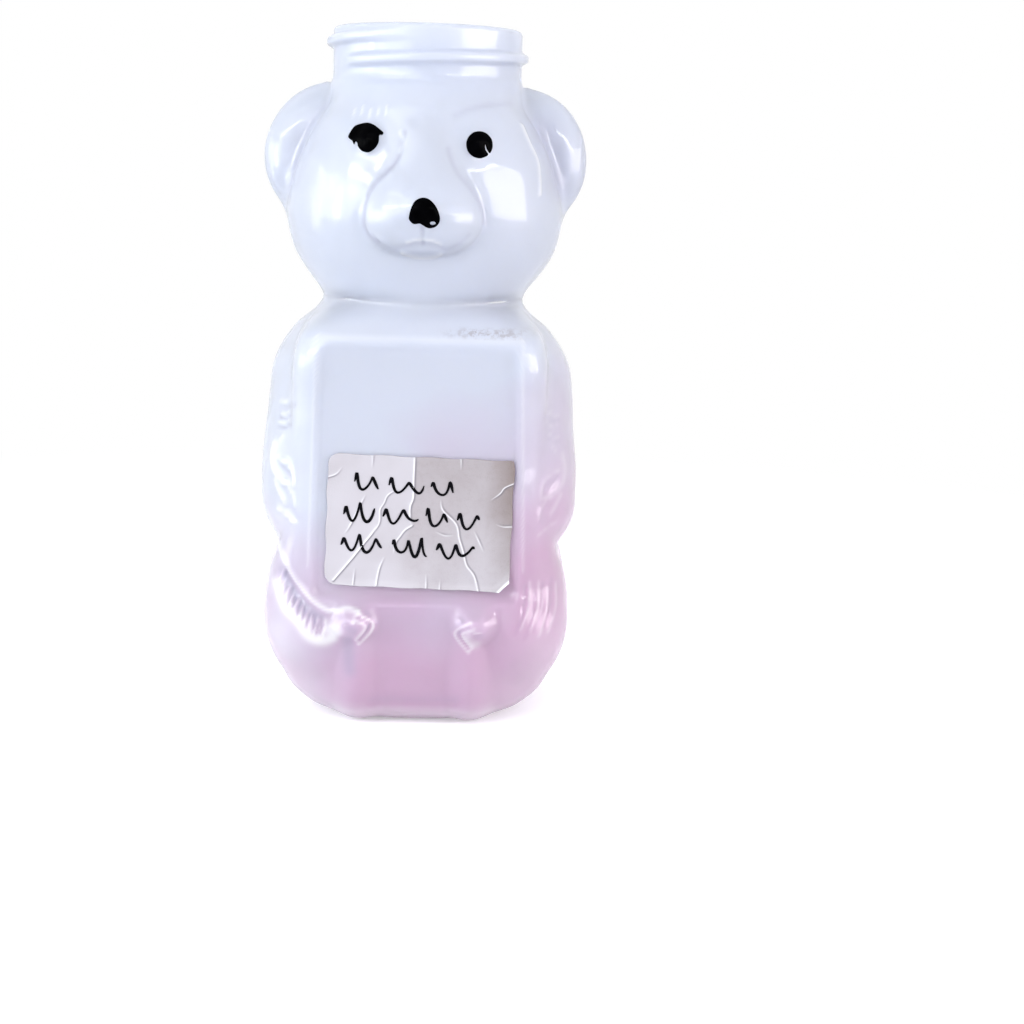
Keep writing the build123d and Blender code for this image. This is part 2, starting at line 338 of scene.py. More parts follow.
@dataclass(frozen=True)
class Arms:
    """Arms that hang at the sides of the torso."""

    bottom: float = 32.0
    top: float = 75.6
    span: float = 59.6
    width: float = 13.0
    depth: float = 30.0
    swing: float = 3.0
    end_blend: float = 4.0
    # Shares of the arm's height, half span, width, forward swing and depth
    shares: tuple = (
        (0.0, 0.86, 0.5, 1.5, 0.42), (0.045, 0.926, 0.72, 1.5, 0.65),
        (0.11, 0.976, 0.88, 1.5, 0.85), (0.25, 1.0, 0.98, 1.3, 0.98),
        (0.46, 0.983, 1.0, 0.8, 1.0), (0.64, 0.965, 1.0, 0.3, 0.95),
        (0.78, 0.93, 0.97, 0.0, 0.87), (0.87, 0.856, 0.88, -0.2, 0.75),
        (0.94, 0.76, 0.72, -0.3, 0.58), (1.0, 0.62, 0.45, -0.3, 0.36),
    )

    @cached_property
    def levels(self) -> Levels:
        """The arm's middle, offset, half width and half depth at each height.

        Returns:
            The levels.
        """
        height, edge, width, swing, depth = np.array(self.shares).T
        up = self.bottom + height * (self.top - self.bottom)
        middle = (edge * self.span - width * self.width) / 2
        sizes = (up, middle, -swing * self.swing, width * self.width / 2, depth * self.depth / 2)
        return Levels(np.stack(sizes, axis=1))

    def gap(self, folded: Points) -> Numbers:
        """Distance from the arms.

        Args:
            folded: Folded points to measure, one a row.

        Returns:
            Distance at each point, negative inside.
        """
        across, along, up = folded.T
        middle, offset, half_width, half_depth = self.levels.at(up)
        flat = section(across - middle, along - offset, half_width, half_depth)
        return soft_cut(flat, np.maximum(self.bottom - up, up - self.top), self.end_blend)


@dataclass(frozen=True)
class Legs:
    """Thigh, knee and shin of each sitting leg."""

    thigh_centre: Triple = (18.4, -14.1, 18.0)
    thigh_half_sizes: Triple = (9.6, 12.0, 11.0)
    knee_centre: Triple = (11.2, -22.9, 19.9)
    knee_half_sizes: Triple = (4.2, 5.0, 3.9)
    shin_middle: float = 10.2
    shin_half_width: float = 4.1
    shin_half_depth: float = 5.2
    shin_top: float = 18.0
    shin_reach: float = 26.4
    knee_blend: float = 1.0
    # Shares of the shin's height, width and forward reach
    shin_shares: tuple = (
        (0.0, 0.5, 0.665), (0.05, 0.72, 0.785), (0.14, 0.9, 0.888), (0.28, 1.0, 0.955),
        (0.5, 0.98, 1.0), (0.75, 0.94, 1.0), (0.92, 0.84, 0.99), (1.0, 0.7, 0.965),
    )

    def gap(self, folded: Points) -> Numbers:
        """Distance from the legs.

        Args:
            folded: Folded points to measure, one a row.

        Returns:
            Distance at each point, negative inside.
        """
        across, along, up = folded.T
        sizes = (self.shin_top, self.shin_half_width, self.shin_reach)
        width, reach = Levels(np.array(self.shin_shares) * sizes).at(up)
        offset = self.shin_half_depth - reach
        shin = section(across - self.shin_middle, along - offset, width, self.shin_half_depth)
        shin = soft_cut(shin, up - self.shin_top, self.knee_blend)
        knee = egg(folded, self.knee_centre, self.knee_half_sizes)
        thigh = egg(folded, self.thigh_centre, self.thigh_half_sizes)
        return soft_union(thigh, soft_union(shin, knee, self.knee_blend), self.knee_blend)


@dataclass(frozen=True)
class Panel:
    """A flat panel sunk into the front or the back, inside a bevelled edge."""

    side: float
    reach: float
    bottom: float = 25.2
    top: float = 70.2
    bottom_half_width: float = 18.15
    top_half_width: float = 17.3
    corner_radius: float = 1.1
    # How steeply the bevel rises at the panel's bottom and from some way above it
    bevel_slopes: Pair = (1.2, 0.62)
    bevel_change: float = 10.0
    crease_blend: float = 0.2
    edge_blend: float = 0.25

    def outside_edge(self, points: Points) -> Numbers:
        """Distance outside the panel's flat face, seen square on.

        Args:
            points: Points to measure, one a row.

        Returns:
            Distance at each point, negative over the face.
        """
        up, height = points[:, 2] - self.bottom, self.top - self.bottom
        taper = (self.top_half_width - self.bottom_half_width) / height
        side_gap = np.abs(points[:, 0]) - self.bottom_half_width - taper * up + self.corner_radius
        end_gap = np.abs(up - height / 2) - height / 2 + self.corner_radius
        corner = np.hypot(np.maximum(side_gap, 0), np.maximum(end_gap, 0))
        return corner + np.minimum(np.maximum(side_gap, end_gap), 0) - self.corner_radius

    def carve(self, points: Points, body: Numbers) -> Numbers:
        """Cuts the panel into a body.

        Args:
            points: Points to measure.
            body: Distance from the body there.

        Returns:
            Distance from the cut body.
        """
        ends = (self.bottom, self.bottom + self.bevel_change)
        slope = np.interp(points[:, 2], ends, self.bevel_slopes)
        outside = self.outside_edge(points)
        rise = self.crease_blend * np.logaddexp(0, outside / self.crease_blend)
        proud = self.side * points[:, 1] - self.reach - slope * rise
        tilt = np.where(outside > 0, 1 / np.hypot(1, slope), 1.0)
        return soft_cut(body, proud * tilt, self.edge_blend)


@dataclass(frozen=True)
class Base:
    """The flat ring that the bottle stands on, with the hollow pressed up inside it."""

    # Half width and half depth of the hollow at the ground and at its top
    ground_sizes: Pair = (11.0, 9.5)
    top_sizes: Pair = (6.5, 5.5)
    rise: float = 2.2
    edge_blend: float = 0.5

    def carve(self, points: Points, body: Numbers) -> Numbers:
        """Cuts a body flat at the ground and hollows its base.

        Args:
            points: Points to measure.
            body: Distance from the body there.

        Returns:
            Distance from the cut body.
        """
        up = points[:, 2]
        ends = zip(self.ground_sizes, self.top_sizes)
        half_width, half_depth = (np.interp(up, (0, self.rise), sizes) for sizes in ends)
        ratio = np.hypot(points[:, 0] / half_width, points[:, 1] / half_depth)
        hollow = soft_cut((ratio - 1) * half_depth, up - self.rise, self.edge_blend)
        grounded = soft_cut(body, -up, self.edge_blend)
        return soft_cut(grounded, -hollow, self.edge_blend)


@dataclass(frozen=True)
class BearForm:
    """The whole bear up to the root of its neck."""

    trunk: Trunk = Trunk()
    ears: Ears = Ears()
    snout: Snout = Snout()
    eyeballs: Eyeballs = Eyeballs()
    arms: Arms = Arms()
    legs: Legs = Legs()
    panels: tuple[Panel, Panel] = (Panel(-1, 23.0), Panel(1, 25.2))
    base: Base = Base()
    ear_blend: float = 1.8
    arm_blend: float = 3.6
    leg_blend: float = 2.0
    snout_blend: float = 0.8
    eye_blend: float = 0.9

    def gap(self, points: Points) -> Numbers:
        """Distance from the bear's outer surface.

        Args:
            points: Points to measure, one a row.

        Returns:
            Distance at each point, negative inside.
        """
        folded = np.stack([np.abs(points[:, 0]), points[:, 1], points[:, 2]], axis=1)
        body = soft_union(self.trunk.gap(points), self.arms.gap(folded), self.arm_blend)
        body = soft_union(body, self.legs.gap(folded), self.leg_blend)
        for panel in self.panels:
            body = panel.carve(points, body)
        body = soft_union(body, self.ears.gap(folded), self.ear_blend)
        body = soft_union(body, self.snout.gap(points), self.snout_blend)
        body = soft_union(body, self.eyeballs.gap(folded), self.eye_blend)
        return self.base.carve(points, body)


# Relief of the moulded surface, with painted highlights and shade along its lines

@dataclass(frozen=True)
class Crease:
    """A line moulded into the front, a groove where its height is less than zero; its tone paints a
    highlight along it where above zero and shade where below, and a line of no height is only
    painted.
    """

    width: float
    height: float
    tone: float
    path: Path
    steps: int = 6

    def mirrored(self, share: float, drop: float) -> "Crease":
        """The same line on the other side, fainter and lower."""
        path = tuple((-across, up - drop) for across, up in self.path)
        return Crease(self.width, share * self.height, share * self.tone, path)

    def closeness(self, seen: Numbers) -> Numbers:
        """One along the line, falling to zero beside it.

        Args:
            seen: Points as they are seen from the front, one a row.

        Returns:
            How close each point is.
        """
        straight = len(self.path) == 2
        line = np.array(self.path, float) if straight else curve(self.path, self.steps)
        near = gap_to_line(seen, line) / self.width
        return np.exp(-near * near)


@dataclass(frozen=True)
class FaceCreases:
    """The moulded lines of the face with their painted highlights and shade, placed as they are
    seen from the front.
    """

    # Width, height, tone and path of each line: the bridge, mouth, lips, nose, ears, brow, socket;
    # the tone is a painted highlight above zero and painted shade below, and the two wide ear lines
    # of no height are only painted shade in the ear dishes
    lines: tuple = (
        (0.4, -0.2, -0.32, (
            (-3.4, 108.0), (-3.9, 105.6), (-4.8, 103.1), (-6.6, 100.9), (-8.6, 98.6),
            (-9.9, 96.0), (-10.4, 93.0), (-10.2, 91.2), (-9.3, 89.6), (-7.8, 88.5),
        )),
        (0.4, -0.13, -0.22, (
            (4.4, 105.4), (5.2, 103.2), (6.4, 100.9), (8.1, 99.0), (9.4, 97.2), (10.6, 95.0),
            (11.0, 92.4),
        )),
        (0.34, -0.17, -0.16, (
            (-8.8, 90.0), (-7.2, 88.4), (-4.9, 87.5), (-2.4, 88.2), (0.2, 88.7), (2.6, 88.3),
            (4.6, 87.7), (6.8, 88.9), (8.4, 90.4),
        )),
        (0.26, 0.12, 0.55, ((-2.6, 88.9), (-0.8, 89.5), (1.6, 89.5), (3.4, 88.8))),
        (0.32, 0.24, 0.6, ((-3.4, 86.9), (-1.8, 86.4), (0.2, 86.2), (2.2, 86.4), (3.4, 86.9))),
        (0.34, -0.22, -0.15, ((0.2, 91.6), (0.35, 90.2), (0.3, 88.7))),
        (0.5, -0.1, -0.15, (
            (-18.2, 113.2), (-22.0, 108.6), (-23.6, 103.8), (-24.6, 99.6), (-25.2, 95.0),
        )),
        (0.3, 0.3, 0.7, ((17.4, 109.8), (18.9, 106.6), (20.3, 103.9), (20.8, 101.0), (21.0, 97.7))),
        (3.2, 0.0, -0.17, ((-21.8, 109.0), (-24.4, 105.0), (-24.8, 100.0))),
        (3.2, 0.0, -0.32, ((21.8, 109.0), (24.4, 105.0), (24.8, 100.0))),
        (0.6, -0.16, -0.16, ((5.6, 111.2), (8.7, 112.5), (12.4, 113.3), (15.5, 113.8))),
        (0.4, 0.12, 0.55, ((-4.2, 107.8), (-3.5, 106.3), (-4.2, 104.6))),
    )
    # Width, height and tone, a painted highlight above zero and painted shade below, of the line
    # round the left eye and of the ticks over it
    socket_look: Triple = (0.7, -0.07, -0.08)
    brow_look: Triple = (0.24, 0.2, 0.55)
    socket_middle: Pair = (-9.3, 105.9)
    socket_radius: float = 5.3
    socket_turn: float = 75.0
    socket_corners: int = 9
    brow_left: float = -12.6
    brow_step: float = 1.45
    brow_lean: float = 0.15
    brow_length: float = 1.2
    brow_count: int = 5
    # Pace, middle and swing of the height at which a tick starts
    brow_base: Triple = (2.1, 110.7, 0.25)

    def creases(self) -> list[Crease]:
        """All the lines of the face.

        Returns:
            The creases.
        """
        limit = math.radians(self.socket_turn)
        turns = np.linspace(-limit, limit, self.socket_corners)[:, None]
        round_way = np.concatenate([np.cos(turns), np.sin(turns)], axis=1)
        socket = (np.array(self.socket_middle) + self.socket_radius * round_way).tolist()
        found = [Crease(*line) for line in (*self.lines, (*self.socket_look, socket))]
        for index in range(self.brow_count):
            across, low = self.brow_left + index * self.brow_step, wander(index, *self.brow_base)
            tick = ((across, low), (across + self.brow_lean, low + self.brow_length))
            found.append(Crease(*self.brow_look, tick))
        return found


@dataclass(frozen=True)
class LimbCreases:
    """The moulded fingers, knee marks and fur of the limbs with their painted highlights and shade,
    and wide places of painted shade and highlight, as they are seen from the front.
    """

    # Width, height, tone and path of each line, for the left limb; the tone is a painted highlight
    # above zero and painted shade below
    fingers: tuple = (
        (0.34, -0.3, -0.28, ((-25.7, 57.9), (-24.4, 57.8), (-22.6, 59.1))),
        (0.34, -0.3, -0.28, ((-25.7, 56.0), (-24.4, 56.0), (-23.3, 57.0))),
        (0.34, -0.3, -0.28, ((-25.9, 54.2), (-24.4, 54.6), (-23.4, 55.4))),
        (0.3, 0.25, 0.45, ((-25.6, 58.9), (-24.6, 59.0), (-23.8, 59.6))),
        (0.3, 0.25, 0.45, ((-25.2, 56.9), (-24.4, 56.9), (-23.5, 57.8))),
        (0.3, 0.25, 0.45, ((-25.6, 55.1), (-24.4, 55.4), (-23.6, 56.1))),
        (0.25, 0.2, 0.4, ((-25.4, 52.2), (-24.5, 53.4))),
        (0.6, 0.35, 0.6, (
            (-26.5, 51.5), (-26.9, 49.1), (-26.7, 47.1), (-25.7, 45.6), (-24.4, 44.8),
        )),
        (0.32, 0.3, 0.55, (
            (-25.7, 49.0), (-23.6, 48.0), (-22.8, 46.8), (-22.6, 44.5), (-24.4, 44.7),
        )),
        (0.8, -0.25, -0.3, ((-25.0, 47.4), (-23.8, 46.3))),
        (0.45, 0.3, 0.6, ((-26.2, 44.5), (-25.5, 43.0), (-24.4, 41.3))),
        (0.28, 0.25, 0.45, ((-23.4, 43.9), (-22.5, 42.5), (-22.2, 40.7))),
        (0.32, 0.25, 0.5, ((-25.7, 39.7), (-23.9, 38.9), (-22.3, 37.8))),
        (0.9, -0.1, -0.2, ((-22.9, 40.1), (-21.6, 38.9))),
    )
    knee: tuple = (
        (0.42, 0.26, 0.8, ((-10.3, 22.2), (-7.5, 20.0), (-10.0, 16.7))),
        (0.36, 0.2, 0.6, ((-10.9, 21.2), (-8.8, 20.0), (-10.6, 17.4))),
        (0.3, -0.22, -0.65, ((-10.0, 21.6), (-8.1, 20.0), (-9.85, 17.2))),
        (0.8, -0.25, -0.3, ((-12.0, 20.0), (-10.8, 19.2))),
        (0.45, 0.0, -0.3, ((-8.8, 22.2), (-7.0, 20.4))),
        (0.18, 0.15, 0.7, ((-12.5, 20.3), (-10.9, 20.6))),
    )
    # Lines along the left thigh with painted highlight and shade, then wide places of painted shade
    # and painted highlight: under the panel, beside the left knee, low between the shins, on the
    # right knee, on both hips and above the base
    single: tuple = (
        (1.15, -0.3, -0.72, ((-24.1, 28.3), (-22.1, 25.0), (-19.9, 22.8), (-17.4, 20.6))),
        (1.15, 0.35, 0.8, ((-15.4, 19.0), (-13.9, 18.8))),
        (0.46, 0.3, 0.75, (
            (-25.3, 33.0), (-24.1, 30.6), (-22.0, 27.5), (-19.2, 24.5), (-16.1, 22.5),
            (-14.3, 22.4), (-12.1, 22.9), (-10.2, 22.4),
        )),
        (1.0, 0.4, 0.95, (
            (-25.4, 26.0), (-23.7, 22.5), (-21.1, 20.4), (-18.9, 17.6), (-16.6, 16.8),
            (-14.8, 17.4),
        )),
        (6.0, 0.0, -0.16, ((-4.0, 21.0), (4.0, 21.0))),
        (1.3, -0.1, -0.5, ((-12.0, 17.2), (-11.6, 11.5))),
        (1.0, -0.06, -0.16, ((-7.5, 5.4), (7.5, 5.6))),
        (1.0, 0.1, 0.45, ((9.8, 18.2), (11.2, 17.0))),
        (4.5, 0.0, 0.24, ((-24.0, 16.0), (-21.3, 8.5), (-17.5, 3.0))),
        (4.5, 0.0, 0.15, ((23.0, 15.0), (20.5, 8.5), (16.2, 3.5))),
        (1.4, 0.0, 0.34, ((-14.0, 2.6), (14.0, 2.6))),
    )
    right_finger_share: float = 0.35
    right_knee_share: float = 0.75
    right_drop: float = 1.2
    fur_line: Path = ((-24.6, 27.2), (-22.9, 23.8), (-20.5, 21.6), (-18.2, 19.2), (-16.4, 18.6))
    fur_steps: int = 8
    fur_count: int = 21
    fur_rise: float = 0.5
    # Pace, middle and swing of a stroke's length and lean
    fur_length: Triple = (2.9, 1.95, 0.91)
    fur_lean: Triple = (1.7, 0.25, 0.2)
    # Width, height and tone, a painted highlight above zero and painted shade below, of every other
    # stroke, starting with the first
    fur_looks: tuple[Triple, Triple] = ((0.3, 0.25, 0.6), (0.26, -0.2, -0.55))
    side_fur_count: int = 8
    side_fur_left: float = 19.4
    side_fur_step: float = 0.85
    side_fur_middle: Triple = (2.3, 23.0, 0.9)
    side_fur_looks: tuple[Triple, Triple] = ((0.3, -0.1, -0.14), (0.3, 0.1, 0.22))
    side_stroke: Path = ((0.6, 4.2), (0.5, 0.0), (-0.9, -4.0))

    def creases(self) -> list[Crease]:
        """All the lines of the limbs.

        Returns:
            The creases.
        """
        found = [Crease(*line) for line in self.fingers + self.knee + self.single]
        for lines, share in (
            (self.fingers, self.right_finger_share), (self.knee, self.right_knee_share),
        ):
            found += [Crease(*line).mirrored(share, self.right_drop) for line in lines]
        return found + self.fur()

    def fur(self) -> list[Crease]:
        """Short combed strokes down the left thigh and along the side of the right one.

        Returns:
            The creases.
        """
        line = curve(self.fur_line, self.fur_steps)
        found = []
        for index in range(self.fur_count):
            middle = line[int(index * (len(line) - 1) / (self.fur_count - 1))]
            half, lean = wander(index, *self.fur_length) / 2, wander(index, *self.fur_lean)
            top = (middle[0] + lean, middle[1] + half + self.fur_rise)
            look = self.fur_looks[index % 2]
            found.append(Crease(*look, (top, (middle[0] - lean, middle[1] - half))))
        for index in range(self.side_fur_count):
            across = self.side_fur_left + index * self.side_fur_step
            middle = wander(index, *self.side_fur_middle)
            stroke = tuple((across + lean, middle + rise) for lean, rise in self.side_stroke)
            found.append(Crease(*self.side_fur_looks[index % 2], stroke))
        return found


@dataclass(frozen=True)
class ShellRelief:
    """What the mould leaves on the surface: lines, the parting line and slight waves, with painted
    highlights and shade along the lines.
    """

    panels: tuple[Panel, Panel]
    face: FaceCreases = FaceCreases()
    limbs: LimbCreases = LimbCreases()
    # Thin painted highlight lines on a slight ridge where the bevel of the front panel meets the
    # body
    edges: tuple[Crease, ...] = (
        Crease(0.24, 0.07, 0.26, ((-18.4, 71.9), (18.4, 71.9))),
        Crease(0.24, 0.07, 0.26, ((-19.6, 30.0), (-18.4, 71.9))),
        Crease(0.24, 0.07, 0.26, ((19.6, 30.0), (18.4, 71.9))),
    )
    # How far a normal leans forward where lines start to show, and over how much they fade in
    facing: Pair = (0.05, 0.25)
    # How many widths from its path a line still counts
    line_reach: float = 4.0
    # Width and height of the parting line, and of the pinched line under the base
    seam: Pair = (0.3, 0.09)
    pinch: Pair = (0.45, 0.35)
    pinch_half_length: float = 9.5
    wave_seed: int = 11
    wave_height: float = 0.03
    wave_count: int = 9
    wave_lengths: Pair = (9.0, 24.0)
    foot_clearance: float = 4.0
    # How far from a panel's edge the waves start and are whole, and a place beyond both
    panel_calm: Triple = (-1.0, 2.0, 9.0)

    def emboss(self, points: Points, normals: Points) -> tuple[Numbers, Numbers]:
        """How far each point of the outer surface moves outwards, and its painted highlight and
        shade.

        Args:
            points: Points of the smooth form.
            normals: Its normals there.

        Returns:
            The distance along the normal and the tone, from -1 for painted shade to 1 for painted
            highlight.
        """
        front = np.clip((-normals[:, 1] - self.facing[0]) / self.facing[1], 0, 1)
        seen = points[front > 0][:, (0, 2)]
        marks = np.zeros((2, len(seen)))
        for crease in (*self.face.creases(), *self.limbs.creases(), *self.edges):
            corners = np.array(crease.path)
            reach = self.line_reach * crease.width + 1
            low, high = corners.min(0) - reach, corners.max(0) + reach
            near = np.all((seen > low) & (seen < high), axis=1)
            look = np.array((crease.height, crease.tone))
            marks[:, near] += look[:, None] * crease.closeness(seen[near])
        moved, tone = np.zeros(len(points)), np.zeros(len(points))
        moved[front > 0], tone[front > 0] = marks * front[front > 0]
        moved += self.parting(points, normals) + self.waves(points)
        return moved, np.clip(tone, -1, 1)

    def parting(self, points: Points, normals: Points) -> Numbers:
        """The parting line down both sides and the pinched line under the base.

        Args:
            points: Points of the smooth form.
            normals: Its normals there.

        Returns:
            How far the lines stand out at each point.
        """
        line, pinched = (
            height * np.exp(-((points[:, 1] / width) ** 2))
            for width, height in (self.seam, self.pinch)
        )
        upright = np.clip((points[:, 2] - self.foot_clearance) / self.foot_clearance, 0, 1)
        inside = np.clip(self.pinch_half_length - np.abs(points[:, 0]), 0, 1)
        return line * upright + pinched * inside * np.clip(-normals[:, 2] * 2 - 1, 0, 1)

    def waves(self, points: Points) -> Numbers:
        """Slight long waves of a thin blown wall, none on the flat panels or at the ground.

        Args:
            points: Points of the smooth form.

        Returns:
            How far the waves lift each point.
        """
        draw = np.random.default_rng(self.wave_seed)
        total = np.zeros(len(points))
        for _ in range(self.wave_count):
            heading = draw.normal(size=3)
            heading /= np.linalg.norm(heading)
            pace = 2 * math.pi / draw.uniform(*self.wave_lengths)
            total += np.sin(points @ heading * pace + draw.uniform(0, 2 * math.pi))
        calm = np.clip((points[:, 2] - 1) / self.foot_clearance, 0, 1)
        *ends, beyond = self.panel_calm
        for panel in self.panels:
            face = np.where(panel.side * points[:, 1] > 0, panel.outside_edge(points), beyond)
            calm *= np.interp(face, ends, UNIT)
        return self.wave_height * total * calm


# Neck

@dataclass(frozen=True)
class Neck:
    """The screw neck, from its root to the rim and down the bore."""

    root: float = 117.0
    top: float = 127.0
    radius: float = 17.45
    bore: float = 15.95
    root_flare: float = 0.35
    root_rise: float = 1.7
    root_shares: Triple = (0.25, 0.5, 0.75)
    rim_rounding: float = 0.9
    mouth_rounding: float = 0.3
    bore_bottom: float = 116.7
    thread_depth: float = 1.2
    thread_pitch: float = 4.233
    thread_start: float = 120.3
    thread_start_angle: float = -152.0
    thread_turns: float = 1.17
    thread_base: float = 2.7
    thread_crest: float = 0.8
    thread_fades: Pair = (24.0, 60.0)
    side_rings: int = 27
    rim_rings: int = 6
    mouth_rings: int = 3
    bore_rings: int = 4

    def thread_lift(self, angles: Numbers, height: float) -> Numbers:
        """How far the thread stands out at one height.

        Args:
            angles: Direction of each point from the axis, in degrees.
            height: Height of the ring.

        Returns:
            How far each point stands out of the neck.
        """
        lift = np.zeros(len(angles))
        for turn in (0, 360):
            wound = angles + turn - self.thread_start_angle
            middle = self.thread_start + self.thread_pitch * wound / 360
            slope = (self.thread_base - self.thread_crest) / 2
            flank = np.clip((self.thread_base / 2 - np.abs(height - middle)) / slope, 0, 1)
            begun = wound / self.thread_fades[0]
            left = (360 * self.thread_turns - wound) / self.thread_fades[1]
            ends = np.clip(np.minimum(begun, left), 0, 1)
            shape = flank * flank * (3 - 2 * flank) * ends * ends * (3 - 2 * ends)
            lift = np.maximum(lift, self.thread_depth * shape)
        return lift

    def ring(self, angles: Numbers, radius: Numbers | float, height: float) -> Points:
        """One ring of points about the neck's axis."""
        turn = np.radians(angles)
        return np.stack([radius * np.cos(turn), radius * np.sin(turn), height + 0 * turn], axis=1)

    def rings(self, angles: Numbers) -> list[Points]:
        """All rings from the root up the outside, over the rim and down the bore.

        Args:
            angles: Direction of each column in degrees.

        Returns:
            The rings in order.
        """
        rim, mouth = self.rim_rounding, self.mouth_rounding
        root_top, rim_start = self.root + self.root_rise, self.top - rim
        sizes = [
            (self.radius + self.root_flare * (1 - share) ** 2, self.root + share * self.root_rise)
            for share in self.root_shares
        ]
        for height in np.linspace(root_top, rim_start, self.side_rings):
            sizes.append((self.radius + self.thread_lift(angles, height), height))
        for turn in np.linspace(0, QUARTER, self.rim_rings + 1)[1:]:
            sizes.append((self.radius - rim + rim * np.cos(turn), rim_start + rim * np.sin(turn)))
        for turn in np.linspace(0, QUARTER, self.mouth_rings):
            height = self.top - mouth * (1 - np.cos(turn))
            sizes.append((self.bore + mouth * (1 - np.sin(turn)), height))
        for height in np.linspace(self.top - 2 * mouth, self.bore_bottom, self.bore_rings):
            sizes.append((self.bore, height))
        return [self.ring(angles, radius, height) for radius, height in sizes]


# Shell mesh

@dataclass(frozen=True)
class ShellGrid:
    """The grid of rays that samples the bear's form, row by row from the base to the neck."""

    form: BearForm
    wall: float = 0.9
    columns: int = 368
    angle_samples: int = 7201
    front_density: float = 2.2
    front_spread: float = 56.0
    search_reach: float = 32.0
    search_steps: int = 70
    # Share of the distance that a search step takes, and its limits inwards and outwards
    search_share: float = 0.8
    search_limits: Pair = (-1.0, 4.0)
    tolerance: float = 0.003
    ray_back: float = 9.0
    base_edge: Pair = (12.5, 13.5)
    base_shares: tuple[float, ...] = (0.12, 0.28, 0.42, 0.52, 0.6, 0.68, 0.76, 0.84, 0.92, 1.0)
    side_bottom: float = 8.0
    side_top: float = 108.0
    base_rows: int = 13
    top_rows: int = 14
    # Lean of the last rays at the front, how much more it is at the sides, and how wide that is
    top_lean: Triple = (35.0, 50.0, 0.35)
    depth_spread: float = 25.0
    # Height, half width of the line that rays start from, and how far they spread sideways
    core: tuple = (
        (8.0, 12.0, 12.0), (25.0, 14.0, 15.0), (31.0, 12.5, 14.0), (42.0, 14.0, 16.0),
        (65.0, 14.0, 15.0), (73.0, 9.0, 13.0), (78.0, 6.0, 13.0), (84.0, 9.0, 14.0),
        (90.0, 13.0, 12.0), (97.0, 20.0, 7.0), (104.0, 24.0, 5.5), (108.0, 22.0, 6.5),
    )
    # Height and the distance between rows there
    spacing: Path = (
        (8.0, 0.95), (14.0, 0.46), (31.0, 0.46), (35.0, 0.72), (60.0, 0.78), (66.0, 1.0),
        (74.0, 0.9), (83.0, 0.65), (86.0, 0.42), (108.0, 0.44),
    )

    def angles(self) -> Numbers:
        """Direction of each column in degrees, closer together towards the face.

        Returns:
            The directions.
        """
        dense = np.linspace(-180.0, 180.0, self.angle_samples)
        weight = 1 + self.front_density * np.exp(-(((dense + 90) / self.front_spread) ** 2))
        weight = (weight + np.interp(-180 - dense, dense, weight, period=360)) / 2
        total = np.concatenate([[0.0], np.cumsum((weight[1:] + weight[:-1]) / 2)])
        return np.interp(np.arange(self.columns) / self.columns * total[-1], total, dense)

    def heights(self) -> Numbers:
        """Height of each level row on the sides.

        Returns:
            The heights, from the lowest.
        """
        places, steps = np.array(self.spacing).T
        found = [self.side_bottom]
        while found[-1] < self.side_top:
            found.append(found[-1] + float(np.interp(found[-1], places, steps)))
        scale = (self.side_top - self.side_bottom) / (found[-1] - self.side_bottom)
        return self.side_bottom + (np.array(found) - self.side_bottom) * scale

    def cast(self, origins: Points, directions: Points, level: float) -> Points:
        """Where rays that start inside last cross one level of the form.

        Args:
            origins: Start of each ray, by row and column.
            directions: Unit direction of each ray.
            level: Distance from the outer surface of the level that is looked for.

        Returns:
            The crossing on each ray, by row and column.
        """
        starts, aims = origins.reshape(-1, 3), directions.reshape(-1, 3)
        reach, active = np.full(len(starts), self.search_reach), np.arange(len(starts))
        for _ in range(self.search_steps):
            gap = self.form.gap(starts[active] + reach[active, None] * aims[active]) - level
            reach[active] -= np.clip(self.search_share * gap, *self.search_limits)
            active = active[np.abs(gap) > self.tolerance]
            if not len(active):
                break
        return (starts + reach[:, None] * aims).reshape(origins.shape)

    def side_rays(self, angles: Numbers, heights: Numbers) -> tuple[Points, Points]:
        """Level rays for the rows on the sides.

        Args:
            angles: Direction of each column in degrees.
            heights: Height of each row.

        Returns:
            Origins and directions, by row and column.
        """
        half_width, spread = Levels(np.array(self.core)).at(heights)
        across, along = np.cos(np.radians(angles)), np.sin(np.radians(angles))
        starts = np.broadcast_arrays(half_width[:, None] * across, 0.0, heights[:, None])
        aims = np.broadcast_arrays(spread[:, None] * across, self.depth_spread * along, 0.0)
        outward = np.stack(aims, axis=2)
        return np.stack(starts, axis=2), outward / np.linalg.norm(outward, axis=2, keepdims=True)

    def base_rays(self, angles: Numbers, first: Points, outward: Points) -> tuple[Points, Points]:
        """Rays that turn from straight down, under the base, to level at the first side row.

        Args:
            angles: Direction of each column in degrees.
            first: Points of the first side row.
            outward: Level directions of that row.

        Returns:
            Origins and directions, by row and column.
        """
        turn = np.radians(angles)
        width, depth = self.base_edge
        edge = np.stack([width * np.cos(turn), depth * np.sin(turn), 0 * turn], axis=1)
        under = np.array(self.base_shares)[:, None, None] * edge
        share = (np.arange(1, self.base_rows + 1) / (self.base_rows + 1))[:, None, None]
        turned = np.sin(share * QUARTER) * outward - np.cos(share * QUARTER) * UP
        directions = np.concatenate([np.broadcast_to(-UP, under.shape), turned])
        starts = np.concatenate([under, edge + share * (first - edge)])
        return starts - self.ray_back * directions, directions

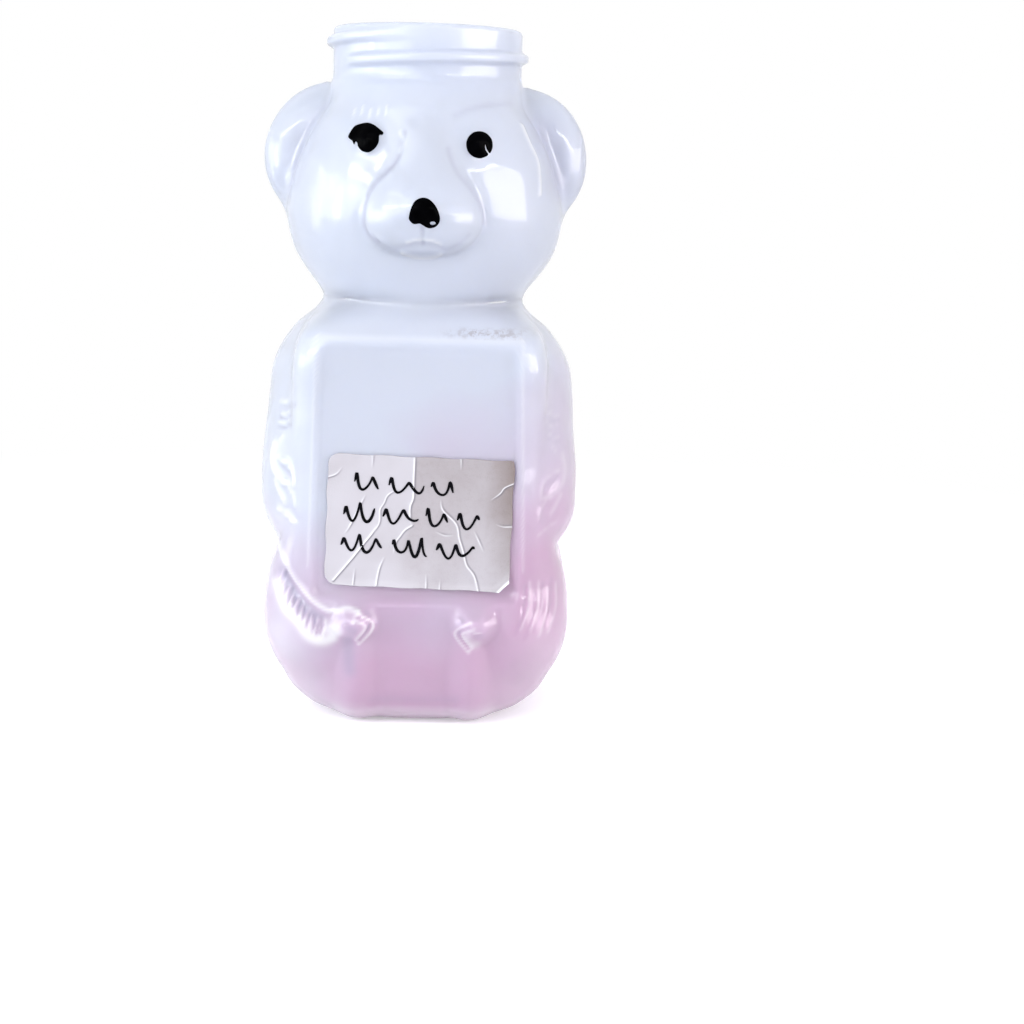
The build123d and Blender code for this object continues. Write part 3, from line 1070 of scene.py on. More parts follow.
    def top_rays(
        self, angles: Numbers, last: Points, outward: Points, end: Pair
    ) -> tuple[Points, Points]:
        """Rays that turn from level, at the last side row, towards the root of the neck.

        Args:
            angles: Direction of each column in degrees.
            last: Points of the last side row.
            outward: Level directions of that row.
            end: Radius of the ring that the rows run up to, and how far along they stop.

        Returns:
            Origins and directions, by row and column.
        """
        turn = np.radians(angles)
        radial = np.stack([np.cos(turn), np.sin(turn), 0 * turn], axis=1)
        share = end[1] * (np.arange(1, self.top_rows + 1) / (self.top_rows + 1))[:, None, None]
        heading = (1 - share) * outward + share * radial
        heading /= np.linalg.norm(heading, axis=2, keepdims=True)
        least, more, width = self.top_lean
        lean = share * np.radians(least + more * np.exp(-((np.sin(turn) / width) ** 2)))[:, None]
        directions = np.cos(lean) * heading + np.sin(lean) * UP
        ring = end[0] * radial + self.form.trunk.neck_root * UP
        return last + share * (ring - last) - self.ray_back * directions, directions

    def surface(self, angles: Numbers, step: int, level: float, end: Pair) -> Points:
        """Samples one level of the form.

        Args:
            angles: Direction of each column in degrees.
            step: Take every row, or every second or third one.
            level: Distance of the level from the outer surface.
            end: Radius and share at which the top rows end.

        Returns:
            Points by row, column and axis.
        """
        heights = self.heights()[::step]
        if heights[-1] < self.side_top:
            heights = np.append(heights, self.side_top)
        origins, outward = self.side_rays(angles, heights)
        sides = self.cast(origins, outward, level)
        lower = self.cast(*self.base_rays(angles, sides[0], outward[0]), level)
        upper = self.cast(*self.top_rays(angles, sides[-1], outward[-1], end), level)
        return np.concatenate([lower[::step], sides, upper[::step]])


def grid_normals(grid: Points) -> Points:
    """Outward normals of a grid whose columns wrap round and whose rows rise.

    Args:
        grid: Points by row, column and axis.

    Returns:
        The normals in the same order.
    """
    round_way = np.roll(grid, -1, axis=1) - np.roll(grid, 1, axis=1)
    normals = np.cross(round_way, np.gradient(grid, axis=0))
    return normals / np.maximum(np.linalg.norm(normals, axis=2, keepdims=True), LEAST_LENGTH)


def join_rings(first: int, first_count: int, second: int, second_count: int) -> list[tuple]:
    """Faces between two rings, the second as fine as the first or half as fine.

    Args:
        first: Index of the first ring's first point.
        first_count: Points in the first ring.
        second: Index of the second ring's first point.
        second_count: Points in the second ring.

    Returns:
        The faces' point indices.
    """
    faces = []
    step = first_count // second_count
    for index in range(second_count):
        left, right = first + step * index, first + step * (index + 1) % first_count
        low, high = second + index, second + (index + 1) % second_count
        if step == 1:
            faces.append((left, right, high, low))
        else:
            faces += [(left, left + 1, low), (left + 1, high, low), (left + 1, right, high)]
    return faces


def mesh_object(
    name: str, points: Points, faces: list[tuple], smooth: bool = True, **marks: Numbers
) -> bpy.types.Object:
    """Makes a mesh object from points in millimetres.

    Args:
        name: Name of the object.
        points: Its points, one a row.
        faces: Point indices of each face.
        smooth: Whether its faces are shaded smooth.
        marks: Named values, one a point, that its material reads.

    Returns:
        The new object.
    """
    mesh = bpy.data.meshes.new(name)
    mesh.from_pydata((np.asarray(points) * MM).tolist(), [], faces)
    mesh.polygons.foreach_set("use_smooth", [smooth] * len(mesh.polygons))
    for mark, values in marks.items():
        mesh.attributes.new(mark, "FLOAT", "POINT").data.foreach_set("value", values)
    mesh.update()
    piece = bpy.data.objects.new(name, mesh)
    bpy.context.scene.collection.objects.link(piece)
    return piece


@dataclass
class BottleShell:
    """The whole blown shell as one closed mesh, with its outer surface, neck and inner wall."""

    form: BearForm = BearForm()
    neck: Neck = Neck()
    inner_end: Pair = (16.3, 0.8)
    inner_step: int = 5
    ray_start: float = -0.06
    tree: BVHTree | None = None

    def build(self) -> bpy.types.Object:
        """Builds the shell and keeps a tree of its faces for what is painted or stuck on it.

        Returns:
            The shell.
        """
        grid, trunk = ShellGrid(self.form), self.form.trunk
        angles = grid.angles()
        outer = grid.surface(angles, 1, 0.0, (trunk.root_radius, 1.0))
        normals = grid_normals(outer)
        relief = ShellRelief(self.form.panels)
        lift, tone = relief.emboss(outer.reshape(-1, 3), normals.reshape(-1, 3))
        outer = outer + lift.reshape(*outer.shape[:2], 1) * normals
        coarse = angles[::2]
        inner = grid.surface(coarse, self.inner_step, -grid.wall, self.inner_end)
        root = self.neck.ring(coarse, trunk.root_radius, self.neck.root)
        rings = [*outer, root, *self.neck.rings(coarse), *inner[::-1]]
        counts = [len(ring) for ring in rings]
        starts = (1 + np.cumsum([0, *counts])).tolist()
        faces = []
        for index in range(len(rings) - 1):
            after = index + 1
            faces += join_rings(starts[index], counts[index], starts[after], counts[after])
        first, last, tail, end = counts[0], counts[-1], starts[-2], starts[-1]
        faces += [(0, 1 + (index + 1) % first, 1 + index) for index in range(first)]
        faces += [(end, tail + index, tail + (index + 1) % last) for index in range(last)]
        points = np.concatenate([outer[0].mean(0)[None], *rings, inner[0].mean(0)[None]])
        log.info("shell: %d points, %d faces", len(points), len(faces))
        # Painted highlight and shade of the outer points, none on the neck and inner wall
        shades = np.pad(tone, (1, len(points) - 1 - len(tone)))
        self.tree = BVHTree.FromPolygons((points * MM).tolist(), faces)
        return mesh_object("bear_shell", points, faces, moulded_tone=shades)

    def front(self, seen: Numbers) -> Points:
        """Points of the shell's front behind points seen from the front."""
        starts = [Vector((across * MM, self.ray_start, up * MM)) for across, up in seen]
        return np.array([self.tree.ray_cast(start, Vector(BACK))[0] / MM for start in starts])


# Painted eyes and nose

# Share of the spacing that stays free beside a border, and the gap at which points are one
BORDER_CLEARANCE = 0.6
WELD_GAP = 1e-6


def inside_loops(spots: Numbers, loops: list[Numbers]) -> Numbers:
    """Whether each 2-D point lies inside an outline and outside its holes.

    Args:
        spots: Points to test, one a row.
        loops: The outline and then its holes, as closed loops of points.

    Returns:
        True or false for each point.
    """
    inside = np.zeros(len(spots), bool)
    for loop in loops:
        for start, end in zip(loop, np.roll(loop, -1, axis=0)):
            rising = (start[1] > spots[:, 1]) != (end[1] > spots[:, 1])
            drop = end[1] - start[1] or LEAST_LENGTH
            crossing = start[0] + (spots[:, 1] - start[1]) / drop * (end[0] - start[0])
            inside ^= rising & (spots[:, 0] < crossing)
    return inside


def gap_to_loops(spots: Numbers, loops: list[Numbers]) -> Numbers:
    """Least distance from each 2-D point to a few closed loops."""
    return np.min([gap_to_line(spots, np.concatenate([loop, loop[:1]])) for loop in loops], axis=0)


def fill_outline(loops: list[Numbers], spacing: float) -> tuple[Numbers, list[tuple]]:
    """Fills an outline with even triangles, leaving its holes open.

    Args:
        loops: The outline and then its holes, as closed loops of 2-D points.
        spacing: Distance between the points inside.

    Returns:
        The points and the triangles.
    """
    border = np.concatenate(loops)
    edges, start = [], 0
    for loop in loops:
        count = len(loop)
        edges += [(start + index, start + (index + 1) % count) for index in range(count)]
        start += count
    low, high = border.min(0), border.max(0)
    across, up = np.meshgrid(*(np.arange(low[axis], high[axis], spacing) for axis in (0, 1)))
    across = across + (np.arange(len(across)) % 2)[:, None] * spacing / 2
    inner = np.stack([across.ravel(), up.ravel()], axis=1)
    clear = gap_to_loops(inner, loops) > spacing * BORDER_CLEARANCE
    inner = inner[clear & inside_loops(inner, loops)]
    spots = [Vector(spot) for spot in np.concatenate([border, inner])]
    found = delaunay_2d_cdt(spots, edges, [], 0, WELD_GAP)
    points, triangles = np.array([tuple(spot) for spot in found[0]]), np.array(found[2])
    kept = triangles[inside_loops(points[triangles].mean(1), loops)]
    return points, [tuple(triangle) for triangle in kept.tolist()]


def slab(front: Points, back: Points, faces: list[tuple]) -> tuple[Points, list[tuple]]:
    """Closes a front and a back skin into one thin solid.

    Args:
        front: Points of the front skin.
        back: Points of the back skin, in the same order.
        faces: Faces of either skin.

    Returns:
        Points and faces of the solid.
    """
    edges = dict.fromkeys(edge for face in faces for edge in zip(face, face[1:] + face[:1]))
    rim = [edge for edge in edges if edge[::-1] not in edges]
    count = len(front)
    solid = list(faces) + [tuple(count + corner for corner in face[::-1]) for face in faces]
    solid += [(end, start, count + start, count + end) for start, end in rim]
    return np.concatenate([front, back]), solid


@dataclass(frozen=True)
class PaintSpot:
    """A film of gloss paint, brushed by hand onto a raised ball."""

    name: str
    node: str
    middle: Pair
    outline: Path
    holes: tuple[Path, ...] = ()
    steps: int = 6
    edge_height: float = 0.03
    dome_height: float = 0.13
    dome_width: float = 0.375
    sink: float = 0.14
    spacing: float = 0.24

    def build(self, shell: BottleShell) -> bpy.types.Object:
        """Builds the film.

        Args:
            shell: The shell that carries it.

        Returns:
            The film.
        """
        outlines = (self.outline, *self.holes)
        loops = [curve(corners, self.steps, True) + np.array(self.middle) for corners in outlines]
        spots, faces = fill_outline(loops, self.spacing)
        dome = 1 - np.exp(-gap_to_loops(spots, loops) / self.dome_width)
        rise = self.edge_height + self.dome_height * dome
        under = shell.front(spots)
        points, solid = slab(under - rise[:, None] * BACK, under + self.sink * BACK, faces)
        return mesh_object(self.name, points, solid)


@dataclass(frozen=True)
class PaintedFace:
    """The three painted spots of the face."""

    spots: tuple[PaintSpot, ...] = (
        PaintSpot("left_eye_paint", "left_eye", (-9.8, 106.1), (
            (-3.64, 1.0), (-2.78, 2.44), (-1.92, 2.95), (-0.34, 3.3), (0.95, 2.95), (2.1, 2.15),
            (2.67, 1.64), (2.52, 1.23), (2.0, 1.15), (1.9, 0.0), (1.38, -1.0), (0.5, -1.72),
            (-0.34, -1.87), (-1.2, -1.58), (-1.84, -0.86), (-1.92, -0.37), (-2.27, -0.03),
            (-2.55, -0.57), (-2.9, 0.09), (-3.47, 0.49),
        )),
        PaintSpot("right_eye_paint", "right_eye", (9.8, 106.1), (
            (-2.35, 0.1), (-2.0, 1.25), (-1.1, 2.1), (0.1, 2.35), (1.25, 2.0), (2.1, 1.1),
            (2.35, 0.0), (2.2, -0.85), (1.85, -1.42), (1.3, -0.75), (1.0, 0.12), (1.1, -0.85),
            (1.6, -1.62), (1.0, -2.1), (0.0, -2.35), (-1.2, -2.0), (-2.05, -1.15),
        )),
        PaintSpot(
            "nose_paint", "nose", (0.5, 94.1),
            (
                (-0.34, 2.66), (0.92, 2.32), (2.04, 1.12), (2.66, -0.42), (2.6, -1.54),
                (1.9, -2.32), (0.78, -2.55), (-0.2, -2.1), (-0.76, -1.82), (-1.88, -1.88),
                (-2.58, -1.26), (-2.66, -0.56), (-2.3, 0.84), (-1.6, 2.1),
            ),
            (((1.0, -1.6), (1.3, -1.38), (1.8, -1.45), (2.0, -1.72), (1.6, -1.95), (1.15, -1.9)),),
        ),
    )

    def build(self, shell: BottleShell) -> list[tuple[bpy.types.Object, str]]:
        """Builds the spots, each with the node that it stands for."""
        return [(spot.build(shell), spot.node) for spot in self.spots]


# Paper label

@dataclass(frozen=True)
class Fold:
    """One fold of the paper, steep on its right and easing off to its left."""

    height: float
    path: Path
    breadth: float = 1.0
    open_start: bool = False
    open_end: bool = False
    steps: int = 5
    steep_width: float = 0.13
    gentle_width: float = 0.42
    line_width: float = 0.11
    dent_place: float = 0.24
    dent_width: float = 0.16
    taper: float = 2.2
    # Strength of the lowest fold's wear, painted highlight and painted shade, and how much each
    # millimetre of height adds
    tone_start: float = 0.45
    tone_rise: float = 1.9

    def read(self, spots: Numbers) -> tuple[Numbers, Numbers]:
        """Reads where spots of the paper lie beside the fold.

        Args:
            spots: Spots of the label, one a row.

        Returns:
            Distance from the fold, positive on its right, and its strength, less at a tapered end.
        """
        line = curve(self.path, self.steps)
        lengths = np.linalg.norm(np.diff(line, axis=0), axis=1)
        done = np.concatenate([[0.0], np.cumsum(lengths)])
        gap, run_length = np.full(len(spots), np.inf), np.zeros(len(spots))
        for index, length in enumerate(lengths):
            run = (line[index + 1] - line[index]) / length
            offset = spots - line[index]
            along = np.clip(offset @ run, 0, length)
            found = np.linalg.norm(offset - along[:, None] * run, axis=1)
            side = np.where(run[0] * offset[:, 1] - run[1] * offset[:, 0] > 0, 1.0, -1.0)
            better = found < np.abs(gap)
            gap = np.where(better, found * side, gap)
            run_length = np.where(better, done[index] + along, run_length)
        strength = np.ones(len(spots))
        ends = ((self.open_start, run_length), (self.open_end, done[-1] - run_length))
        for is_open, rest in ends:
            if not is_open:
                strength *= np.clip(rest / self.taper, 0, 1)
        return gap, strength

    def lift(self, gap: Numbers, strength: Numbers) -> Numbers:
        """How far the fold lifts the paper.

        Args:
            gap: Distance from the fold, positive on its right.
            strength: Its strength there.

        Returns:
            The lift at each spot.
        """
        steep = np.exp(-((gap / self.steep_width) ** 2))
        gentle = np.exp(-np.abs(gap) / (self.gentle_width * self.breadth))
        return self.height * strength * np.where(gap > 0, steep, gentle)

    def tone(self, gap: Numbers, strength: Numbers) -> tuple[Numbers, Numbers]:
        """How the fold shows in the paper's colour.

        Args:
            gap: Distance from the fold, positive on its right.
            strength: Its strength there.

        Returns:
            How light the worn edge with its painted highlight is, and how dark the painted shade in
            the dent at its right.
        """
        width = self.line_width * np.where(gap > 0, 1.0, 2 * self.breadth - 1)
        light = np.exp(-((gap / width) ** 2))
        dark = np.exp(-(((gap - self.dent_place) / self.dent_width) ** 2))
        force = min(1.0, self.tone_start + self.tone_rise * self.height) * strength
        return force * light, force * dark


@dataclass(frozen=True)
class PaperLabel:
    """A wrinkled paper label stuck on the front panel, with one lifted corner."""

    middle: Pair = (0.5, 38.5)
    half_width: float = 16.8
    half_height: float = 12.1
    turn: float = math.radians(-1.2)
    corner_radius: float = 2.1
    right_rounding: float = 0.15
    cut_corner: float = 1.7
    panel_reach: float = 23.0
    thickness: float = 0.11
    spacing: float = 0.135
    curl_height: float = 0.8
    curl_width: float = 2.6
    flap_width: float = 0.6
    flap_tone: float = 1.3
    loose_height: float = 0.35
    loose_width: float = 1.6
    wave_height: float = 0.11
    # Pace, heading and start of each wave of the loose paper
    waves: tuple[Triple, ...] = (
        (0.42, 0.5, 0.3), (0.61, 2.1, 1.9), (0.33, 1.3, 4.0), (0.9, 2.6, 2.2),
    )
    # Swing, pace and start of the slight waves along the left, the right and both ends
    left_edge: Triple = (0.12, 0.9, 0.0)
    right_edge: Triple = (0.1, 0.7, 1.0)
    end_edge: Triple = (0.08, 0.8, 0.5)
    end_power: float = 8.0
    # Folds from the top down, their places measured from the middle of the label
    folds: tuple[Fold, ...] = (
        Fold(0.2, (
            (-1.25, 12.4), (-1.28, 7.6), (-1.25, 4.6), (-1.75, 2.9), (-1.65, 0.6), (-1.3, -0.5),
        ), 1.2, True),
        Fold(0.15, (
            (-1.3, -0.5), (-2.55, -1.4), (-3.4, -2.6), (-4.2, -3.9), (-4.4, -6.0),
        ), 1.2, True),
        Fold(0.14, (
            (-3.9, 6.25), (-5.8, 5.0), (-6.55, 3.4), (-7.2, 2.1), (-7.3, -0.4), (-9.0, -2.9),
        )),
        Fold(0.2, (
            (-7.3, -0.4), (-8.6, -2.4), (-10.0, -4.3), (-12.1, -7.2), (-15.2, -11.2),
        ), 1.4, open_end=True),
        Fold(0.12, ((-8.8, 12.4), (-8.9, 9.6)), 1.0, True),
        Fold(0.15, ((-9.9, 4.9), (-11.0, 2.4), (-12.5, -0.9), (-13.5, -2.6)), 1.2),
        Fold(0.18, (
            (3.7, 4.6), (4.2, 2.6), (6.7, 0.1), (7.4, -2.6), (8.2, -4.9), (8.9, -7.4),
            (10.4, -9.4), (11.3, -12.4),
        ), 1.1, open_end=True),
        Fold(0.12, ((7.1, 12.4), (7.2, 9.9)), 1.0, True),
        Fold(0.17, ((17.0, 8.1), (15.2, 7.2), (14.4, 6.1), (12.7, 4.7)), 1.0, True),
        Fold(0.14, ((-6.1, -6.4), (-7.0, -8.9), (-7.5, -12.4)), 1.2, open_end=True),
        Fold(0.12, ((9.9, -0.9), (10.8, -2.6), (11.9, -4.9))),
        Fold(0.1, ((2.9, -1.4), (4.7, -2.1), (6.4, -2.0))),
        Fold(0.13, ((-14.2, 9.8), (-15.3, 8.4), (-17.0, 7.7)), open_end=True),
        Fold(0.1, ((4.2, -10.2), (4.15, -12.4)), open_end=True),
        Fold(0.1, ((13.8, 0.4), (15.2, 0.0), (17.0, 0.1)), open_end=True),
        Fold(0.08, ((1.6, -9.2), (1.7, -12.4)), open_end=True),
        Fold(0.08, ((-11.4, -8.6), (-11.7, -12.4)), open_end=True),
    )
    # The handled part starts at the first two folds and at this place on the bottom edge
    handled_foot: Pair = (-4.6, -12.4)
    # How wide its edge fades at the bottom and from the middle up
    handled_softness: Pair = (7.0, 0.35)

    def side_edges(self, up: Numbers) -> tuple[Numbers, Numbers]:
        """How far the label reaches to the left and to the right.

        Args:
            up: Heights at which its edges are read.

        Returns:
            Place of the left and of the right edge at each height.
        """
        radius = self.corner_radius
        near_end = np.clip(np.abs(up) - self.half_height + radius, 0, radius)
        rounding = radius - np.sqrt(np.maximum(radius**2 - near_end**2, 0))
        left, right = (
            swing * np.sin(up * pace + start)
            for swing, pace, start in (self.left_edge, self.right_edge)
        )
        left += rounding - self.half_width
        right += self.half_width - np.where(up > 0, rounding * self.right_rounding, 0)
        return left, right - np.clip(self.cut_corner - (up + self.half_height), 0, None)

    def lift(self, spots: Numbers) -> Numbers:
        """How far the paper stands off the panel.

        Args:
            spots: Spots of the label, one a row.

        Returns:
            The lift at each spot.
        """
        total = np.max([fold.lift(*fold.read(spots)) for fold in self.folds], axis=0)
        for pace, heading, start in self.waves:
            run = spots[:, 0] * math.cos(heading) + spots[:, 1] * math.sin(heading)
            total += self.wave_height * (1 + np.sin(run * pace + start)) / 2
        loose = np.clip(1 - (spots[:, 1] + self.half_height) / self.loose_width, 0, 1)
        curl = np.clip(1 - self.corner_gap(spots) / self.curl_width, 0, 1)
        return total + self.loose_height * loose * loose + self.curl_height * curl * curl

    def corner_gap(self, spots: Numbers) -> Numbers:
        """How far each spot lies from the cut across the lower right corner."""
        inward = (self.half_width - spots[:, 0]) + (spots[:, 1] + self.half_height)
        return inward - self.cut_corner

    def tone(self, spots: Numbers) -> Numbers:
        """Tone of the paper: 1 on the worn edge of a fold, which also carries a painted highlight,
        and on the flap, -1 for painted shade in a dent.

        Args:
            spots: Spots of the label, one a row.

        Returns:
            The tone at each spot.
        """
        tones = np.array([fold.tone(*fold.read(spots)) for fold in self.folds])
        light, dark = tones.max(0)
        flap = np.clip(self.flap_tone - self.corner_gap(spots) / self.flap_width, 0, 1)
        light = np.maximum(light, flap)
        return light - dark * (1 - light)

    def handled(self, spots: Numbers) -> Numbers:
        """How far the paper is greyed by handling, right of its long fold.

        Args:
            spots: Spots of the label, one a row.

        Returns:
            From 0 to 1 at each spot.
        """
        line = (*self.folds[0].path, *self.folds[1].path[1:], self.handled_foot)
        across, up = np.array(line[::-1]).T
        softness = np.interp(spots[:, 1], (-self.half_height, 0.0), self.handled_softness)
        return np.clip((spots[:, 0] - np.interp(spots[:, 1], up, across)) / softness, 0, 1)

    def place(self, spots: Numbers, lift: Numbers) -> Points:
        """Places spots of the label on the bottle.

        Args:
            spots: Spots of the label, one a row.
            lift: How far each is lifted off the panel.

        Returns:
            Their points.
        """
        cos, sin = math.cos(self.turn), math.sin(self.turn)
        across = self.middle[0] + spots[:, 0] * cos - spots[:, 1] * sin
        up = self.middle[1] + spots[:, 0] * sin + spots[:, 1] * cos
        return np.stack([across, -self.panel_reach - lift, up], axis=1)

    def build(self) -> bpy.types.Object:
        """Builds the paper as one thin closed sheet.

        Returns:
            The sheet.
        """
        halves = (self.half_height, self.half_width)
        rows, columns = (int(2 * half / self.spacing) for half in halves)
        up = np.linspace(-self.half_height, self.half_height, rows + 1)
        left, right = self.side_edges(up)
        across = left[:, None] + (right - left)[:, None] * np.linspace(0, 1, columns + 1)
        swing, pace, start = self.end_edge
        up = up[:, None]
        end = np.abs(up / self.half_height) ** self.end_power
        heights = up + swing * np.sin(across * pace + start) * end
        spots = np.stack([across.ravel(), heights.ravel()], axis=1)
        width = columns + 1
        corners = [row * width + column for row in range(rows) for column in range(columns)]
        faces = [(low, low + 1, low + width + 1, low + width) for low in corners]
        lift = self.lift(spots)
        front = self.place(spots, lift + self.thickness)
        back = self.place(spots, np.maximum(lift - self.thickness, 0) - self.thickness / 4)
        points, solid = slab(front, back, faces)
        # The folds' wear with painted highlight and painted shade, and the handled grey
        tones, handled = np.tile(self.tone(spots), 2), np.tile(self.handled(spots), 2)
        return mesh_object(
            "label_paper_sheet", points, solid, fold_tone=tones, handled_side=handled
        )


@dataclass(frozen=True)
class PenMarks:
    """Three rows of plain pen waves on the label."""

    label: PaperLabel
    half_width: float = 0.285
    rise: float = 0.07
    sink: float = 0.03
    step: float = 0.12
    tallness: float = 1.55
    tightness: float = 1.2
    lean: float = 0.28
    # Middle, swing and pace of the tallness, swing and pace of the drift, both along a run
    swell: Triple = (0.75, 0.25, 0.9)
    drift: Pair = (0.35, 0.43)
    # Middle, swing and pace of the pen's pressure, then its start and the steps that it grows over
    pressure: Triple = (0.85, 0.15, 0.21)
    tip: Pair = (0.45, 4.0)
    # Start, end, height, tilt, swing and pace of each run of waves
    runs: tuple = (
        (-12.2, -7.4, 6.9, 0.02, 1.25, 1.9), (-6.0, 0.4, 6.6, -0.01, 0.95, 1.7),
        (1.6, 6.2, 6.3, 0.0, 1.15, 1.8), (-14.0, -8.2, 1.4, 0.01, 1.2, 2.0),
        (-6.9, -0.4, 1.1, 0.0, 0.9, 1.6), (0.9, 5.4, 0.9, -0.02, 1.25, 1.9),
        (6.6, 11.2, 0.7, 0.0, 0.95, 1.7), (-14.3, -6.5, -4.3, 0.01, 1.1, 1.8),
        (-5.0, 1.8, -4.6, 0.0, 1.2, 2.1), (3.0, 10.5, -4.9, 0.0, 0.9, 1.7),
    )

    def line(self, run: tuple[float, ...]) -> Numbers:
        """The middle line of one run of waves.

        Args:
            run: Its row of the table.

        Returns:
            Points of the line, one a row.
        """
        start, end, level, tilt, swing, pace = run
        across = np.arange(start, end, self.step)
        turn = (across - start) * pace * self.tightness
        middle, grow, swell_pace = self.swell
        swell = middle + grow * np.sin(across * swell_pace + start)
        drift = self.drift[0] * np.sin(turn * self.drift[1] + start)
        wave = swing * self.tallness * swell * np.sin(turn + drift)
        rise = level + tilt * (across - start)
        return np.stack([across + self.lean * np.cos(turn), rise + wave], axis=1)

    def build(self) -> bpy.types.Object:
        """Builds all runs as thin closed ribbons that follow the paper.

        Returns:
            The ribbons.
        """
        points, faces, start = [], [], 0
        middle, swing, pace = self.pressure
        for run in self.runs:
            line = self.line(run)
            count = len(line)
            along = np.gradient(line, axis=0)
            along /= np.linalg.norm(along, axis=1, keepdims=True)
            beside = np.stack([-along[:, 1], along[:, 0]], axis=1)
            place = np.arange(count)
            press = self.half_width * (middle + swing * np.sin(place * pace))
            press *= np.minimum(1, self.tip[0] + np.minimum(place, place[::-1]) / self.tip[1])
            spots = np.concatenate([line + side * press[:, None] * beside for side in (-1, 0, 1)])
            lows = [side * count + index for index in range(count - 1) for side in (0, 1)]
            strip = [(low, low + 1, low + count + 1, low + count) for low in lows]
            lift = self.label.lift(spots) + self.label.thickness
            front = self.label.place(spots, lift + self.rise)
            ribbon, solid = slab(front, self.label.place(spots, lift - self.sink), strip)
            points.append(ribbon)
            faces += [tuple(start + corner for corner in face) for face in solid]
            start += len(ribbon)
        return mesh_object("label_pen_marks", np.concatenate(points), faces)


# Finishes

class Wiring:
    """Adds nodes to one node tree and joins them."""

    def __init__(self, tree: bpy.types.NodeTree) -> None:
        """Keeps the tree that is wired."""
        self.tree = tree

    def add(self, kind: str, sockets: Sockets | None = None, **settings: object) -> bpy.types.Node:
        """Adds a node.

        Args:
            kind: The node's type.
            sockets: Values or linked outputs for its inputs, by the input's name or number.
            settings: Values of its own settings.

        Returns:
            The new node.
        """
        node = self.tree.nodes.new(kind)
        for name, value in settings.items():
            setattr(node, name, value)
        for name, value in (sockets or {}).items():
            if isinstance(value, Socket):
                self.tree.links.new(value, node.inputs[name])
            else:
                node.inputs[name].default_value = value
        return node

    def sum(self, first: Socket, second: Socket, clamped: bool = False) -> Socket:
        """Adds two values, kept between 0 and 1 if the sum is clamped."""
        return self.add("ShaderNodeMath", {0: first, 1: second}, use_clamp=clamped).outputs[0]

    def product(self, first: Socket, second: Socket | float) -> Socket:
        """Multiplies two values."""
        return self.add("ShaderNodeMath", {0: first, 1: second}, operation="MULTIPLY").outputs[0]

    def larger(self, first: Socket, second: Socket) -> Socket:
        """The larger of two values."""
        return self.add("ShaderNodeMath", {0: first, 1: second}, operation="MAXIMUM").outputs[0]

    def spread(self, value: Socket, source: Pair, target: Pair = UNIT) -> Socket:
        """Maps a value from one range onto another, held at its ends."""
        sockets = {0: value, 1: source[0], 2: source[1], 3: target[0], 4: target[1]}
        return self.add("ShaderNodeMapRange", sockets).outputs[0]

    def blend(self, share: Socket, first: Socket | Colour, second: Socket | Colour) -> Socket:
        """Blends two colours by a share that varies over the surface."""
        sockets = {0: share, 6: first, 7: second}
        return self.add("ShaderNodeMix", sockets, data_type="RGBA").outputs[2]

    def noise(self, place: Socket, scale: Socket | float, detail: float) -> Socket:
        """A noise that varies over the surface."""
        sockets = {"Vector": place, "Scale": scale, "Detail": detail}
        return self.add("ShaderNodeTexNoise", sockets).outputs[0]

    def place(self) -> Socket:
        """Place on the object."""
        return self.add("ShaderNodeTexCoord").outputs["Object"]

    def mark(self, name: str) -> Socket:
        """Values that a mesh carries for its points."""
        return self.add("ShaderNodeAttribute", attribute_name=name).outputs["Fac"]

    def toned(self, name: str, tint: Socket, dark: Colour, light: Colour) -> Socket:
        """Darkens and lightens a tint by a tone from -1 to 1 that the mesh carries.

        Args:
            name: Name of the tone.
            tint: The tint where it is zero.
            dark: Tint where it is -1.
            light: Tint where it is 1.

        Returns:
            The tint that varies.
        """
        tone = self.mark(name)
        tint = self.blend(self.spread(tone, (-1.0, 0.0), (1.0, 0.0)), tint, dark)
        return self.blend(self.spread(tone, UNIT), tint, light)

    def bump(self, strength: float, distance: float, height: Socket) -> Socket:
        """Normals bent by a height that varies over the surface."""
        sockets = {"Strength": strength, "Distance": distance, "Height": height}
        return self.add("ShaderNodeBump", sockets).outputs[0]

    def shade(self, sockets: Sockets) -> None:
        """Adds the main shader and joins it to the material's output."""
        shader = self.add("ShaderNodeBsdfPrincipled", sockets)
        self.add("ShaderNodeOutputMaterial", {"Surface": shader.outputs[0]})


